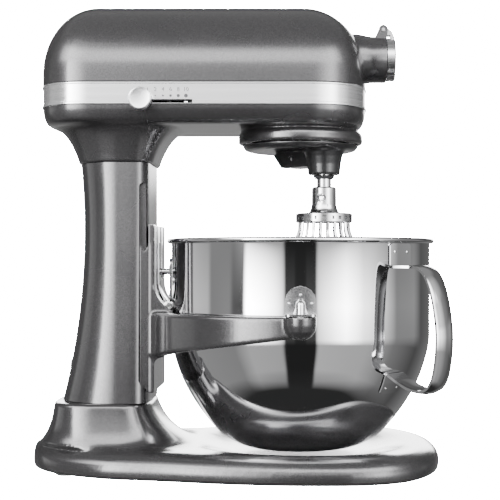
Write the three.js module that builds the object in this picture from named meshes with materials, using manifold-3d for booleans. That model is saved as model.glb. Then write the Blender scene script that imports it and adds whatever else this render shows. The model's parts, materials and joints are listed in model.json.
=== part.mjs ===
// A bowl-lift stand mixer, in millimetres, +Z up, +X towards the attachment hub, standing on z = 0.
// Inside the group, x = 0 and y = 0 are the mixing axis: the centre of the bowl and of the planetary head.
import * as THREE from "three";
import { mergeVertices } from "three/addons/utils/BufferGeometryUtils.js";
import Module from "manifold-3d";

const wasm = await Module();
wasm.setup();

// ---------- driving dimensions ----------
const GAP = 0.35; // between pieces that touch
const AXIS_X = 58; // the mixing axis stands this far in front of the middle of the footprint

const BASE = { under: 2, crest: 23, dish: 13.9, socketTop: 62 };
// Half of the base's outline from its front to its rear; a smooth curve passes through these points.
const BASE_OUTLINE = [[126, 0], [119, 50], [96, 91.5], [60, 111], [5, 114.5], [-60, 107], [-120, 92], [-172, 79.5],
  [-216, 54], [-238, 25], [-244, 0]];
const COLUMN = { waistX: -197.5, waistZ: 215, bow: 8.33e-4, front: -135, halfLow: 52, halfTop: 46, bottom: 62.4, top: 275 };
const HEAD = { rearCentre: -180.5, rearSemi: 52.5, frontCentre: 0, frontSemi: 59, half: 70, top: 419, shoulder: 354 };
const CASE = { bottom: 303.6, top: 323.2, wall: 5 };
const BAND = { bottom: 323.5, top: 342.6, depth: 2.6 };
const BOSS = { radius: 57, bottom: 293.8, cavity: 53.6, floor: 305 };
const HUB = { radius: 21, bore: 14, z: 372.4, end: 78.3, knobX: 68 };
const CAP = { radius: 19.7, back: 78.7, front: 86.6, hingeX: 75.5, hingeZ: 399, arm: 6 };
const SPEED = { x: -137.4, z: 325.8, travel: 39, knobZ: 326.7, knobRadius: 9.8 };

const BOWL = { radius: 118, wall: 1.2, bottom: 18.6, rimZ: 205.9, rollRadius: 2.2, rollCentre: 119.9 };
const HANDLE = { azimuth: -44, reach: 164.5, half: 11, top: 182.6, bottom: 79, foot: 91, thick: 2.4 };
const PIN = { y: 130, radius: 4, top: 156, bossRadius: 13.5, bossTop: 142.3, bossBottom: 123 };
const SLIDE = { front: -129.5, cheekRear: -142, half: 46, bottom: 76, top: 197, plateTop: 220 };
const LIFT = { travel: 40, x: -163, z: 140, swing: 150, rollerRadius: 4, shaftRadius: 5 };
const LEVER = { length: 72, y: 57, rest: 240 };

const ORBIT = { radius: 30, azimuth: -45 };
const SHAFT = { radius: 6.5, bottom: 226 };
const WHISK = { top: 254.4, collarTop: 230.6, collarBottom: 222.1, collarRadius: 25.5, bottom: 67, belly: 52, wire: 1.3, pinZ: 244, pinTurn: -103 };

const MODULE = 2; // of every spur gear
const TEETH = { ring: 46, planet: 16, centre: 34, pinion: 11, wheel: 17, bevel: 12 };
const MOTOR = { z: 354, stator: 38, bore: 27.3, rotor: 26.5, rear: -190, front: -120 };
const REDUCTION = { x: -38, y: 24 };

const rad = THREE.MathUtils.degToRad;

// ---------- materials ----------
const finish = (color, roughness, metalness) => new THREE.MeshStandardMaterial({ color, roughness, metalness });
const PAINT = finish(0x6b6a6d, 0.32, 0.75);
const DARK_PAINT = finish(0x3c3c3f, 0.38, 0.6);
const POLISHED = finish(0xd9dadc, 0.06, 1.0);
const SATIN = finish(0xc9cacc, 0.28, 1.0);
const STEEL = finish(0xa9abae, 0.3, 1.0);
const CAST = finish(0x9a9c9f, 0.55, 0.9);
const BRASS = finish(0xb99a52, 0.35, 1.0);
const COPPER = finish(0xb5673a, 0.4, 0.9);
const RUBBER = finish(0x1d1d1e, 0.85, 0.0);
const BLACK_PLASTIC = finish(0x222224, 0.45, 0.0);
const BOARD = finish(0x2f6b46, 0.6, 0.0);

// ---------- solids ----------
function solid(geometry) {
  const bare = geometry.clone();
  bare.deleteAttribute("normal");
  bare.deleteAttribute("uv");
  const merged = mergeVertices(bare, 1e-4);
  const triVerts = new Uint32Array(merged.index.array);
  return new wasm.Manifold(new wasm.Mesh({ numProp: 3, vertProperties: merged.attributes.position.array, triVerts }));
}

function geometryOf(manifold) {
  const mesh = manifold.getMesh();
  const points = new Float32Array(mesh.numVert * 3);
  for (let i = 0; i < mesh.numVert; i++) {
    points.set(mesh.vertProperties.subarray(i * mesh.numProp, i * mesh.numProp + 3), i * 3);
  }
  return new THREE.BufferGeometry()
    .setAttribute("position", new THREE.BufferAttribute(points, 3))
    .setIndex(new THREE.BufferAttribute(mesh.triVerts, 1));
}

const join = (first, ...others) => geometryOf(others.reduce((sum, g) => sum.add(solid(g)), solid(first)));
const cut = (first, ...others) => geometryOf(others.reduce((sum, g) => sum.subtract(solid(g)), solid(first)));
const common = (first, other) => geometryOf(solid(first).intersect(solid(other)));

const box = (x0, x1, y0, y1, z0, z1) =>
  new THREE.BoxGeometry(x1 - x0, y1 - y0, z1 - z0).translate((x0 + x1) / 2, (y0 + y1) / 2, (z0 + z1) / 2);

// A round bar from a to b along one axis; centre holds the other two coordinates.
function bar(axis, a, b, radius, centre, sides = 20, farRadius = radius) {
  const bar = new THREE.CylinderGeometry(farRadius, radius, b - a, sides).translate(0, (a + b) / 2, 0);
  if (axis === "x") return bar.rotateZ(-Math.PI / 2).translate(0, centre[0], centre[1]);
  if (axis === "z") return bar.rotateX(Math.PI / 2).translate(centre[0], centre[1], 0);
  return bar.translate(centre[0], 0, centre[1]);
}

const tube = (axis, a, b, radius, bore, centre, sides = 20) =>
  cut(bar(axis, a, b, radius, centre, sides), bar(axis, a - 1, b + 1, bore, centre, sides));

// Turns a profile of [radius, height] pairs about +Z.
function turned(profile, segments) {
  const points = profile.map(([r, z]) => new THREE.Vector2(r, z));
  return new THREE.LatheGeometry(points, segments).rotateX(Math.PI / 2);
}

// Skins a row of rings that hold the same number of points; the ends are closed, or joined if it is a loop.
function loft(rings, loop = false) {
  const count = rings[0].length;
  const points = rings.flat();
  const faces = [];
  const bands = loop ? rings.length : rings.length - 1;
  for (let i = 0; i < bands; i++) {
    for (let j = 0; j < count; j++) {
      const a = i * count + j;
      const b = i * count + ((j + 1) % count);
      const c = ((i + 1) % rings.length) * count + j;
      const d = ((i + 1) % rings.length) * count + ((j + 1) % count);
      faces.push(a, b, d, a, d, c);
    }
  }
  if (!loop) {
    const close = (ring, offset, flip) => {
      const middle = ring.reduce((sum, p) => sum.add(p), new THREE.Vector3()).divideScalar(count);
      points.push(middle);
      const hub = points.length - 1;
      for (let j = 0; j < count; j++) {
        const edge = [offset + j, offset + ((j + 1) % count)];
        faces.push(hub, ...(flip ? edge.reverse() : edge));
      }
    };
    close(rings[0], 0, true);
    close(rings.at(-1), (rings.length - 1) * count, false);
  }
  const skin = new THREE.BufferGeometry().setFromPoints(points).setIndex(faces);
  return faceOut(skin);
}

// Reverses a closed skin that was wound inside out.
function faceOut(skin) {
  const p = skin.attributes.position;
  const index = skin.index.array;
  const [a, b, c] = [new THREE.Vector3(), new THREE.Vector3(), new THREE.Vector3()];
  let volume = 0;
  for (let i = 0; i < index.length; i += 3) {
    a.fromBufferAttribute(p, index[i]);
    b.fromBufferAttribute(p, index[i + 1]);
    c.fromBufferAttribute(p, index[i + 2]);
    volume += a.dot(b.cross(c));
  }
  if (volume < 0) {
    for (let i = 0; i < index.length; i += 3) [index[i + 1], index[i + 2]] = [index[i + 2], index[i + 1]];
  }
  return skin;
}

// A level ring, blunt at both ends: its straight sides run from the rear centre to the front centre.
function bluntRing(z, { rearCentre, rearSemi, frontCentre, frontSemi, half, blunt = 2.6, count = 32 }) {
  const ring = [];
  for (let i = 0; i < count; i++) {
    const t = ((i + 0.5) / count) * 2 * Math.PI;
    const along = Math.abs(Math.cos(t)) ** (2 / blunt);
    const across = Math.sign(Math.sin(t)) * Math.abs(Math.sin(t)) ** (2 / blunt);
    const x = Math.cos(t) > 0 ? frontCentre + frontSemi * along : rearCentre - rearSemi * along;
    ring.push(new THREE.Vector3(x, half * across, z));
  }
  return ring;
}

const mixer = new THREE.Group();
mixer.position.x = AXIS_X;

function add(name, geometry, material) {
  const mesh = new THREE.Mesh(geometry, material);
  mesh.name = name;
  mixer.add(mesh);
  return mesh;
}

// ---------- base ----------
const baseOutline = new THREE.CatmullRomCurve3(
  [...BASE_OUTLINE, ...BASE_OUTLINE.slice(1, -1).map(([x, y]) => [x, -y]).reverse()].map(([x, y]) => new THREE.Vector3(x, y, 0)),
  true,
);

// The outline at one height, moved inwards by inset.
function baseRing(z, inset, count = 32) {
  return Array.from({ length: count }, (_, i) => {
    const along = baseOutline.getTangentAt(i / count);
    return baseOutline.getPointAt(i / count).add(new THREE.Vector3(-along.y * inset, along.x * inset, z));
  });
}

// The collar that the column stands in flares out of the base plate.
function collarRing(z, flare, inset = 0, count = 24) {
  return bluntRing(z, {
    rearCentre: -178, rearSemi: 45 + flare * 0.68 - inset, frontCentre: -160, frontSemi: 27 + flare * 1.65 - inset,
    half: 56 + flare * 0.36 - inset, blunt: flare > 8 ? 2.3 : 2.8, count,
  });
}

function baseCasting() {
  const { under, crest, dish, socketTop } = BASE;
  const plate = loft([
    baseRing(under, 4), baseRing(under + 4, 0.5), baseRing(under + 8, 0), baseRing(crest - 7, 3),
    baseRing(crest - 2, 9), baseRing(crest, 17),
  ]);
  const collar = loft([
    collarRing(crest - 8, 22, 4), collarRing(crest, 22), collarRing(crest + 6, 11), collarRing(crest + 15, 4.5),
    collarRing(crest + 26, 1), collarRing(socketTop - 3, 0), collarRing(socketTop, 0, 3),
  ]);
  const bowlDish = turned([[0, dish], [72, dish], [88, crest + 0.5], [88, crest + 20], [0, crest + 20]], 36);
  const hollow = loft([baseRing(under - 3, 8, 24), baseRing(under + 3, 8, 24), baseRing(dish - 4, 16, 24)]);
  const collarHollow = loft([collarRing(dish - 5, 0, 9, 16), collarRing(socketTop - 8, 0, 11, 16)]);
  return cut(join(plate, collar), bowlDish, hollow, collarHollow);
}

function baseCover() {
  return loft([BASE.under + 0.2, BASE.under + 2.6].map((z) => baseRing(z, 8 + GAP, 24)));
}

add("base_casting", baseCasting(), PAINT);
add("base_bottom_cover", baseCover(), BLACK_PLASTIC);
const FEET = { front_left: [78, -66], front_right: [78, 66], rear_left: [-205, -50], rear_right: [-205, 50] };
for (const [place, [x, y]] of Object.entries(FEET)) {
  add(`foot_${place}`, bar("z", 0, BASE.under - 0.15, 10, [x, y], 16), RUBBER);
}

// ---------- column ----------
const columnRear = (z) => COLUMN.waistX - COLUMN.bow * (z - COLUMN.waistZ) ** 2;
const columnHalf = (z) => {
  const share = (z - COLUMN.bottom) / (COLUMN.top - COLUMN.bottom);
  return COLUMN.halfLow + (COLUMN.halfTop - COLUMN.halfLow) * share;
};

function columnRing(z, inset, count = 24) {
  return bluntRing(z, {
    rearCentre: -172, rearSemi: -172 - columnRear(z) - inset, frontCentre: -150, frontSemi: COLUMN.front + 150 - inset,
    half: columnHalf(z) - inset, blunt: 3.2, count,
  });
}

function columnCasting() {
  const levels = (from, to, steps) => Array.from({ length: steps + 1 }, (_, i) => from + ((to - from) * i) / steps);
  const outside = loft(levels(COLUMN.bottom, COLUMN.top, 6).map((z) => columnRing(z, 0)));
  const inside = loft(levels(COLUMN.bottom - 1, COLUMN.top + 1, 3).map((z) => columnRing(z, 6, 16)));
  const grooves = [-1, 1].map((side) =>
    box(SLIDE.cheekRear - 0.6, -100, Math.min(side * 40, side * 60), Math.max(side * 40, side * 60), 75, 257));
  const lugSlot = box(-150, -130, -9, 6, 102, 176);
  const shaftHole = bar("y", 30, 70, 8, [LIFT.x, LIFT.z]);
  const cordHole = bar("x", -230, -190, 7, [0, 92]);
  return cut(outside, inside, ...grooves, lugSlot, shaftHole, cordHole);
}

add("column_casting", columnCasting(), PAINT);
add("cord_gland", cut(bar("x", -213.5, -203, 6.6, [0, 92], 16), bar("x", -220, -200, 4, [0, 92], 12)), RUBBER);

// ---------- motor head ----------
// The loaf-shaped outline of the head at one height, moved inwards by inset.
function headRing(z, inset, count = 28) {
  const rise = Math.max(0, z - HEAD.shoulder) / (HEAD.top - HEAD.shoulder - inset);
  const swell = Math.sqrt(Math.max(0.001, 1 - rise * rise));
  return bluntRing(z, {
    rearCentre: HEAD.rearCentre, rearSemi: (HEAD.rearSemi - inset) * swell, frontCentre: HEAD.frontCentre,
    frontSemi: (HEAD.frontSemi - inset) * swell, half: (HEAD.half - inset) * swell, blunt: 2.5, count,
  });
}

function headCover() {
  const bottom = BAND.top + GAP;
  const outside = loft([bottom, 356, 376, 393, 406, 414, 418.6].map((z) => headRing(z, 0)));
  const barrel = join(
    bar("x", 20, HUB.end, HUB.radius, [0, HUB.z], 24),
    bar("x", 44, 57, 27, [0, HUB.z], 24, HUB.radius - 0.2),
  );
  const ears = [-1, 1].map((side) => box(71.5, 78.2, Math.min(side * 6.6, side * 9.6), Math.max(side * 6.6, side * 9.6), 388, 403));
  const inside = loft([bottom - 2, 356, 384, 403, 413].map((z) => headRing(z, CASE.wall, 20)));
  const lip = cut(
    loft([headRing(333.5, BAND.depth + GAP), headRing(bottom + 1, BAND.depth + GAP)]),
    loft([headRing(332, CASE.wall + 1, 20), headRing(bottom + 2, CASE.wall + 1, 20)]),
  );
  const bore = bar("x", 30, HUB.end + 2, HUB.bore, [0, HUB.z], 24);
  const pinHole = bar("y", -12, 12, 1.9, [CAP.hingeX, CAP.hingeZ], 12);
  const knobHole = bar("y", 5, 30, 3.6, [HUB.knobX, HUB.z], 12);
  const slotBehindBand = box(-145, -90, -90, -50, 324, 328);
  const shell = cut(join(outside, barrel, ...ears), inside, bore, pinHole, knobHole);
  return cut(join(shell, lip), slotBehindBand);
}

// The neck flares from the column's section to the underside of the head.
function neckRing(z, inset, count = 24) {
  const share = Math.min(1, (z - COLUMN.top) / 31);
  const flare = 1 - Math.sqrt(Math.max(0, 1 - share * share));
  return bluntRing(z, {
    rearCentre: -172, rearSemi: 29 + 27 * flare - inset, frontCentre: -150, frontSemi: 17 + 27 * flare - inset,
    half: 48 + 15 * flare - inset, blunt: 3, count,
  });
}

function gearcase() {
  const { bottom, top, wall } = CASE;
  const tray = loft([
    headRing(bottom, 16), headRing(bottom + 1.2, 8), headRing(bottom + 3.6, 3.6), headRing(bottom + 8, 1.8), headRing(top, 0),
  ]);
  const neck = loft([0.3, 11, 20, 26, 30, 32].map((rise) => neckRing(COLUMN.top + rise, 0)));
  const boss = bar("z", BOSS.bottom, bottom + 4, BOSS.radius, [0, 0], 36);
  const lip = loft([headRing(top - 1, BAND.depth + GAP), headRing(333, BAND.depth + GAP)]);
  const inside = loft([headRing(BOSS.floor + 4, 12, 20), headRing(bottom + 9, wall + 1, 20), headRing(335, wall + 1, 20)]);
  const neckHollow = loft([-1, 18, 31, 40].map((rise) => neckRing(COLUMN.top + rise, 7, 16)));
  const bossCavity = bar("z", BOSS.bottom - 1, BOSS.floor, BOSS.cavity, [0, 0], 36);
  const shaftHole = bar("z", BOSS.floor - 2, BOSS.floor + 12, 11, [0, 0], 24);
  const speedSlot = box(SPEED.x - 5, SPEED.x + SPEED.travel + 5, -90, -40, SPEED.z - 1.6, SPEED.z + 1.6);
  return cut(join(tray, neck, boss, lip), inside, neckHollow, bossCavity, shaftHole, speedSlot);
}

function trimBand() {
  const ring = cut(
    loft([headRing(BAND.bottom, -0.5), headRing(BAND.top, -0.5)]),
    loft([headRing(BAND.bottom - 1, BAND.depth), headRing(BAND.top + 1, BAND.depth)]),
  );
  const slot = box(SPEED.x - 5, SPEED.x + SPEED.travel + 5, -90, -40, SPEED.z - 1.4, SPEED.z + 1.4);
  const vents = [-1, 0, 1].map((step) => box(-240, -225, -24, 24, 331.6 + step * 4.4, 333.4 + step * 4.4));
  return cut(ring, slot, ...vents);
}

add("head_cover", headCover(), PAINT);
add("gearcase_housing", gearcase(), PAINT);
add("trim_band", trimBand(), SATIN);

// ---------- attachment hub ----------
function hubCap() {
  const face = tube("x", CAP.back, CAP.front - 1.6, CAP.radius, CAP.radius - 2.4, [0, HUB.z], 28);
  const disc = bar("x", CAP.front - 2, CAP.front, CAP.radius, [0, HUB.z], 28, CAP.radius - 0.8);
  const arm = new THREE.Shape()
    .moveTo(CAP.hingeX, CAP.hingeZ - 4.2)
    .absarc(CAP.hingeX, CAP.hingeZ, 4.2, -Math.PI / 2, Math.PI / 3, true)
    .lineTo(84, 397)
    .lineTo(CAP.front, 390)
    .lineTo(CAP.front - 1.8, 388)
    .lineTo(82.2, 394.6);
  const strap = new THREE.ExtrudeGeometry(arm, { depth: 2 * CAP.arm, bevelEnabled: false, curveSegments: 10 })
    .rotateX(Math.PI / 2)
    .translate(0, CAP.arm, 0);
  const pinHole = bar("y", -12, 12, 2.1, [CAP.hingeX, CAP.hingeZ], 12);
  return cut(join(face, disc, strap), pinHole);
}

function thumbKnob() {
  const grip = new THREE.Shape();
  const flutes = 8;
  for (let i = 0; i < flutes * 4; i++) {
    const r = 9.3 + 0.9 * Math.cos((i / 4) * 2 * Math.PI);
    const t = (i / (flutes * 4)) * 2 * Math.PI;
    grip[i ? "lineTo" : "moveTo"](r * Math.cos(t), r * Math.sin(t));
  }
  const head = new THREE.ExtrudeGeometry(grip, { depth: 13, bevelEnabled: false })
    .rotateX(-Math.PI / 2)
    .translate(HUB.knobX, 23, HUB.z);
  return join(head, bar("y", 15, 24, 3.1, [HUB.knobX, HUB.z], 12));
}

add("hub_cap", hubCap(), POLISHED);
add("hub_cap_hinge_pin", bar("y", -10.2, 10.2, 1.5, [CAP.hingeX, CAP.hingeZ], 12), STEEL);
add("attachment_knob", thumbKnob(), BLACK_PLASTIC);

// ---------- speed control ----------
add("speed_knob", bar("y", -84, -75.6, SPEED.knobRadius, [SPEED.x, SPEED.knobZ], 28), POLISHED);
add("speed_lever", join(
  box(SPEED.x - 3, SPEED.x + 3, -75.3, -50, SPEED.z - 1, SPEED.z + 1),
  box(SPEED.x - 3, SPEED.x + 30, -54, -48, SPEED.z - 1, SPEED.z + 1),
), STEEL);

// ---------- gears ----------
// A gear's outline has one straight-sided tooth at the phase angle.
function gearOutline(teeth, tip, root, phase, tipShare = 0.24, rootShare = 0.62) {
  const points = [];
  const half = Math.PI / teeth;
  for (let i = 0; i < teeth; i++) {
    const middle = phase + 2 * half * i;
    for (const [r, share] of [[root, -rootShare], [tip, -tipShare], [tip, tipShare], [root, rootShare]]) {
      points.push(new THREE.Vector2(r, 0).rotateAround(new THREE.Vector2(), middle + share * half));
    }
  }
  return points;
}

function spurGear(teeth, phase, z0, z1, bore, [x, y]) {
  const pitch = (MODULE * teeth) / 2;
  const shape = new THREE.Shape(gearOutline(teeth, pitch + 1.5, pitch - 2.1, phase));
  shape.holes.push(new THREE.Path().absarc(0, 0, bore, 0, 2 * Math.PI, true));
  return new THREE.ExtrudeGeometry(shape, { depth: z1 - z0, bevelEnabled: false, curveSegments: 8 }).translate(x, y, z0);
}

function ringGear(z0, z1) {
  const pitch = (MODULE * TEETH.ring) / 2;
  const shape = new THREE.Shape().absarc(0, 0, BOSS.cavity - 0.6, 0, 2 * Math.PI);
  shape.holes.push(new THREE.Path(gearOutline(TEETH.ring, pitch - 1.5, pitch + 2.1, rad(ORBIT.azimuth)).reverse()));
  return new THREE.ExtrudeGeometry(shape, { depth: z1 - z0, bevelEnabled: false, curveSegments: 24 }).translate(0, 0, z0);
}

// A straight bevel gear for a pair of equal gears, pitch cone at 45 degrees, apex at the origin, teeth facing +Z.
function bevelGear(phase) {
  const pitch = 24; // radius and cone height at the outer end of the teeth
  const half = Math.PI / TEETH.bevel;
  const corners = [[-0.6, -2.3], [-0.26, 1.7], [0.26, 1.7], [0.6, -2.3]]; // share of the half tooth, height
  const outer = [];
  for (let tooth = 0; tooth < TEETH.bevel; tooth++) {
    for (const [share, height] of corners) {
      const angle = phase + (2 * tooth + share) * half;
      const rise = height * Math.SQRT1_2;
      outer.push(new THREE.Vector3((pitch + rise) * Math.cos(angle), (pitch + rise) * Math.sin(angle), rise - pitch));
    }
  }
  const inner = outer.map((point) => point.clone().multiplyScalar(0.68));
  const round = (radius, z) => outer.map((_, i) => {
    const t = phase - 0.6 * half + (i / outer.length) * 2 * Math.PI;
    return new THREE.Vector3(radius * Math.cos(t), radius * Math.sin(t), z);
  });
  const rings = [outer, inner, round(7.2, -pitch * 0.68 - 2), round(7.2, -pitch - 4), round(20, -pitch - 4)];
  return loft(rings, true);
}

const planetAt = new THREE.Vector2(ORBIT.radius, 0).rotateAround(new THREE.Vector2(), rad(ORBIT.azimuth));
const toPinion = Math.atan2(REDUCTION.y, REDUCTION.x);

add("ring_gear", ringGear(296, 304.4), STEEL);

// ---------- planetary head ----------
// Outlines in the arm's own frame, where +X points from the mixing axis to the beater shaft.
function planetaryHousing() {
  const disc = turned([[0, 287.8], [49, 287.8], [51.5, 289.2], [53, 293.3], [0, 293.3]], 36);
  const side = new THREE.Shape().moveTo(-13, 273).lineTo(30, 273).lineTo(30, 289).lineTo(-23, 289).lineTo(-23, 285);
  const bridge = new THREE.ExtrudeGeometry(side, { depth: 25, bevelEnabled: false })
    .rotateX(Math.PI / 2)
    .translate(0, 12.5, 0);
  const tower = bar("z", 266.4, 290, 14.2, [30, 0], 24, 18.4);
  const neck = bar("z", 292, 295, 12, [0, 0], 20);
  const centreBore = bar("z", 274.5, 300, 6.3, [0, 0], 16);
  const shaftBore = bar("z", 260, 300, 8.2, [30, 0], 20);
  const pinBore = bar("y", -20, 20, 2.6, [0, 281], 10);
  return cut(join(disc, bridge, tower, neck), centreBore, shaftBore, pinBore).rotateZ(rad(ORBIT.azimuth));
}

add("planetary_housing", planetaryHousing(), DARK_PAINT);
add("planetary_retaining_pin", bar("y", -14.2, 14.2, 2.3, [0, 281], 10).rotateZ(rad(ORBIT.azimuth)), STEEL);
add("centre_shaft", cut(
  bar("z", 275, 352, 5.9, [0, 0], 16),
  bar("y", -20, 20, 2.65, [0, 281], 10).rotateZ(rad(ORBIT.azimuth)),
), STEEL);
add("centre_shaft_bearing", tube("z", 305.4, 313, 10.6, 6.3, [0, 0], 20), STEEL);
add("centre_drive_gear", spurGear(TEETH.centre, toPinion, 335, 343, 6.2, [0, 0]), STEEL);
add("centre_bevel_gear", bevelGear(0).translate(0, 0, HUB.z), STEEL);

// ---------- beater shaft and whisk ----------
const [wx, wy] = [planetAt.x, planetAt.y];
// A bar through the shaft's axis, in line with the pin that locks the whisk on.
const crossBar = (half, radius) => bar("x", -half, half, radius, [0, WHISK.pinZ], 10).rotateZ(rad(WHISK.pinTurn));
// The ring gear has a tooth towards the planet, so the planet has a gap there.
add("planet_pinion", spurGear(TEETH.planet, rad(ORBIT.azimuth) + Math.PI / TEETH.planet, 295.6, 304, 6.8, [wx, wy]), STEEL);
add("beater_shaft", cut(
  bar("z", SHAFT.bottom, 304.4, SHAFT.radius, [0, 0], 20),
  crossBar(20, 2.6),
).translate(wx, wy, 0), POLISHED);
add("beater_shaft_pin", crossBar(13, 2.4).translate(wx, wy, 0), STEEL);
add("beater_shaft_bush", tube("z", 268.5, 287, 7.9, 6.8, [wx, wy], 20), BRASS);
add("shaft_drip_washer", turned([[6.9, 263.6], [7.6, 263.2], [9.6, 265.4], [9.6, 266], [6.9, 266]].concat([[6.9, 263.6]]), 24)
  .translate(wx, wy, 0), BLACK_PLASTIC);

function whiskHub() {
  const { top, collarTop, collarBottom, collarRadius } = WHISK;
  const body = turned([
    [0, collarBottom], [collarRadius, collarBottom], [collarRadius, collarTop], [14.5, collarTop], [11.6, collarTop + 4],
    [11, collarTop + 8], [11, top - 1], [10, top], [0, top],
  ], 24);
  const socket = bar("z", SHAFT.bottom - 1.5, top + 1, SHAFT.radius + 0.35, [0, 0], 20);
  const pinWay = crossBar(16, 3);
  return cut(body, socket, pinWay).translate(wx, wy, 0);
}

// One loop of wire leaves the collar, swells to the belly and rounds the bottom.
function whiskWires() {
  const { collarBottom, bottom, belly, wire } = WHISK;
  const loops = 11;
  const outline = [[21.5, collarBottom - 0.7], [24, collarBottom - 10], [36, 190], [belly - 4, 155], [belly, 124], [belly - 6, 98], [belly - 24, 77], [11, bottom + 2]];
  const section = new THREE.Shape().moveTo(wire, 0).lineTo(-wire / 2, wire).lineTo(-wire / 2, -wire);
  const strands = [];
  for (let i = 0; i < loops; i++) {
    const drop = (i % 3) * 0.4;
    const path = [...outline.map(([r, z]) => [r, z]), [0, bottom + wire + drop], ...outline.map(([r, z]) => [-r, z]).reverse()];
    const curve = new THREE.CatmullRomCurve3(path.map(([r, z]) => new THREE.Vector3(r, 0, z)));
    const strand = new THREE.ExtrudeGeometry(section, { steps: 16, extrudePath: curve, bevelEnabled: false });
    strands.push(strand.rotateZ((i * Math.PI) / loops));
  }
  const joined = join(...strands);
  return joined.translate(wx, wy, 0);
}

add("whisk_hub", whiskHub(), SATIN);
add("whisk_wires", whiskWires(), POLISHED);

// ---------- reduction gear, motor and hub drive ----------
const [gx, gy] = [REDUCTION.x, REDUCTION.y];
add("reduction_pinion_shaft", join(
  bar("z", 323, 364, 4, [gx, gy], 14),
  spurGear(TEETH.pinion, toPinion + Math.PI + Math.PI / TEETH.pinion, 335.2, 342.8, 3.5, [gx, gy]),
), STEEL);
add("worm_wheel", spurGear(TEETH.wheel, -Math.PI / 2, 350.5, 357.5, 4.3, [gx, gy]), BRASS);

// A right-hand worm about +X, with a gap towards the wheel at x = REDUCTION.x.
function motorShaft() {
  const lead = MODULE * Math.PI;
  const stepsPerTurn = 12;
  const turns = 2.2;
  const rings = [];
  for (let i = 0; i <= turns * stepsPerTurn; i++) {
    const angle = (i / stepsPerTurn) * 2 * Math.PI - turns * Math.PI;
    const x = gx + lead / 2 + (lead * angle) / (2 * Math.PI);
    rings.push([[4.4, 1.75], [8.4, 0.65], [8.4, -0.65], [4.4, -1.75]].map(([r, across]) =>
      new THREE.Vector3(x + across, r * Math.cos(angle), MOTOR.z + r * Math.sin(angle))));
  }
  const shaft = bar("x", -212, -27.6, 4.9, [0, MOTOR.z], 16);
  return join(shaft, loft(rings));
}

add("motor_shaft", motorShaft(), STEEL);
add("motor_armature", cut(
  join(
    bar("x", -186, -124, MOTOR.rotor, [0, MOTOR.z], 24),
    bar("x", -192, -185, 8, [0, MOTOR.z], 16),
    bar("x", -205, -191, 12, [0, MOTOR.z], 16),
  ),
  bar("x", -210, -120, 5.2, [0, MOTOR.z], 16),
), COPPER);

function motorFan() {
  const blades = [0, 1, 2, 3, 4, 5].map((i) =>
    box(-115, -107, -1, 1, 8, 30).rotateX((i * Math.PI) / 3).translate(0, 0, MOTOR.z));
  const disc = bar("x", -116.5, -114, 30, [0, MOTOR.z], 24);
  const hub = bar("x", -116.5, -107, 10, [0, MOTOR.z], 18);
  return cut(join(disc, hub, ...blades), bar("x", -120, -100, 5.2, [0, MOTOR.z], 16));
}

function motorStator() {
  const core = tube("x", MOTOR.rear, MOTOR.front, MOTOR.stator, MOTOR.bore, [0, MOTOR.z], 28);
  const coils = [-1, 1].map((side) =>
    box(MOTOR.rear - 5, MOTOR.front + 1.5, -15, 15, Math.min(side * 29, side * 36), Math.max(side * 29, side * 36)).translate(0, 0, MOTOR.z));
  return join(core, ...coils);
}

function bearingBracket(x0, x1, bore) {
  const plate = box(x0, x1, -40, 40, MOTOR.z - 42, MOTOR.z + 24);
  return cut(plate, bar("x", x0 - 1, x1 + 1, bore, [0, MOTOR.z], 20));
}

add("motor_fan", motorFan(), BLACK_PLASTIC);
add("motor_stator", motorStator(), STEEL);
add("motor_front_bearing", tube("x", -100, -94, 11, 5.2, [0, MOTOR.z], 20), STEEL);
add("motor_front_bracket", bearingBracket(-100, -94, 11.4), CAST);
add("motor_rear_bracket", cut(
  join(
    box(-212, -206.5, -34, 34, MOTOR.z - 38, MOTOR.z + 20),
    box(-207, -195, -26, -12.6, MOTOR.z - 4, MOTOR.z + 4),
    box(-207, -195, 12.6, 26, MOTOR.z - 4, MOTOR.z + 4),
  ),
  bar("x", -214, -204, 5.2, [0, MOTOR.z], 20),
), CAST);
add("gear_plate", cut(
  box(-62, 32, -50, 50, 322, 326),
  bar("z", 320, 330, 6.4, [0, 0], 20),
  bar("z", 320, 330, 4.3, [gx, gy], 16),
), CAST);
add("control_board", join(box(-176, -112, 50, 51.6, 322, 370), box(-168, -150, 43, 50.4, 330, 352), box(-140, -128, 45, 50.4, 336, 348)), BOARD);

// The hub's bevel gear is the centre one turned towards +X, with a gap below where the other has a tooth.
add("hub_bevel_gear", bevelGear(Math.PI / TEETH.bevel).rotateZ(Math.PI).rotateY(-Math.PI / 2).translate(0, 0, HUB.z), STEEL);
add("hub_drive_shaft", cut(
  join(bar("x", 17, 64, 6.8, [0, HUB.z], 18), bar("x", 44, 64, 9, [0, HUB.z], 18)),
  box(52, 66, -4.5, 4.5, HUB.z - 4.5, HUB.z + 4.5),
), STEEL);
add("hub_bearing", tube("x", 42, 51, 13.6, 9.3, [0, HUB.z], 20), BRASS);

// ---------- bowl support ----------
// One arm curves round the bowl from the slide to the boss under the bowl's bracket.
function supportArm() {
  const rings = [];
  const steps = 9;
  for (let i = 0; i <= steps; i++) {
    const share = i / steps;
    const azimuth = rad(161 - 68 * share);
    const low = 103 + 21 * share;
    const high = 142.2;
    const [inner, outer] = [125, 135.5 - 2 * share];
    const section = [[inner, low + 3], [inner + 3, low], [outer - 3, low], [outer, low + 3], [outer, high - 3], [outer - 3, high], [inner + 3, high], [inner, high - 3]];
    rings.push(section.map(([r, z]) => new THREE.Vector3(r * Math.cos(azimuth), r * Math.sin(azimuth), z)));
  }
  return loft(rings);
}

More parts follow.
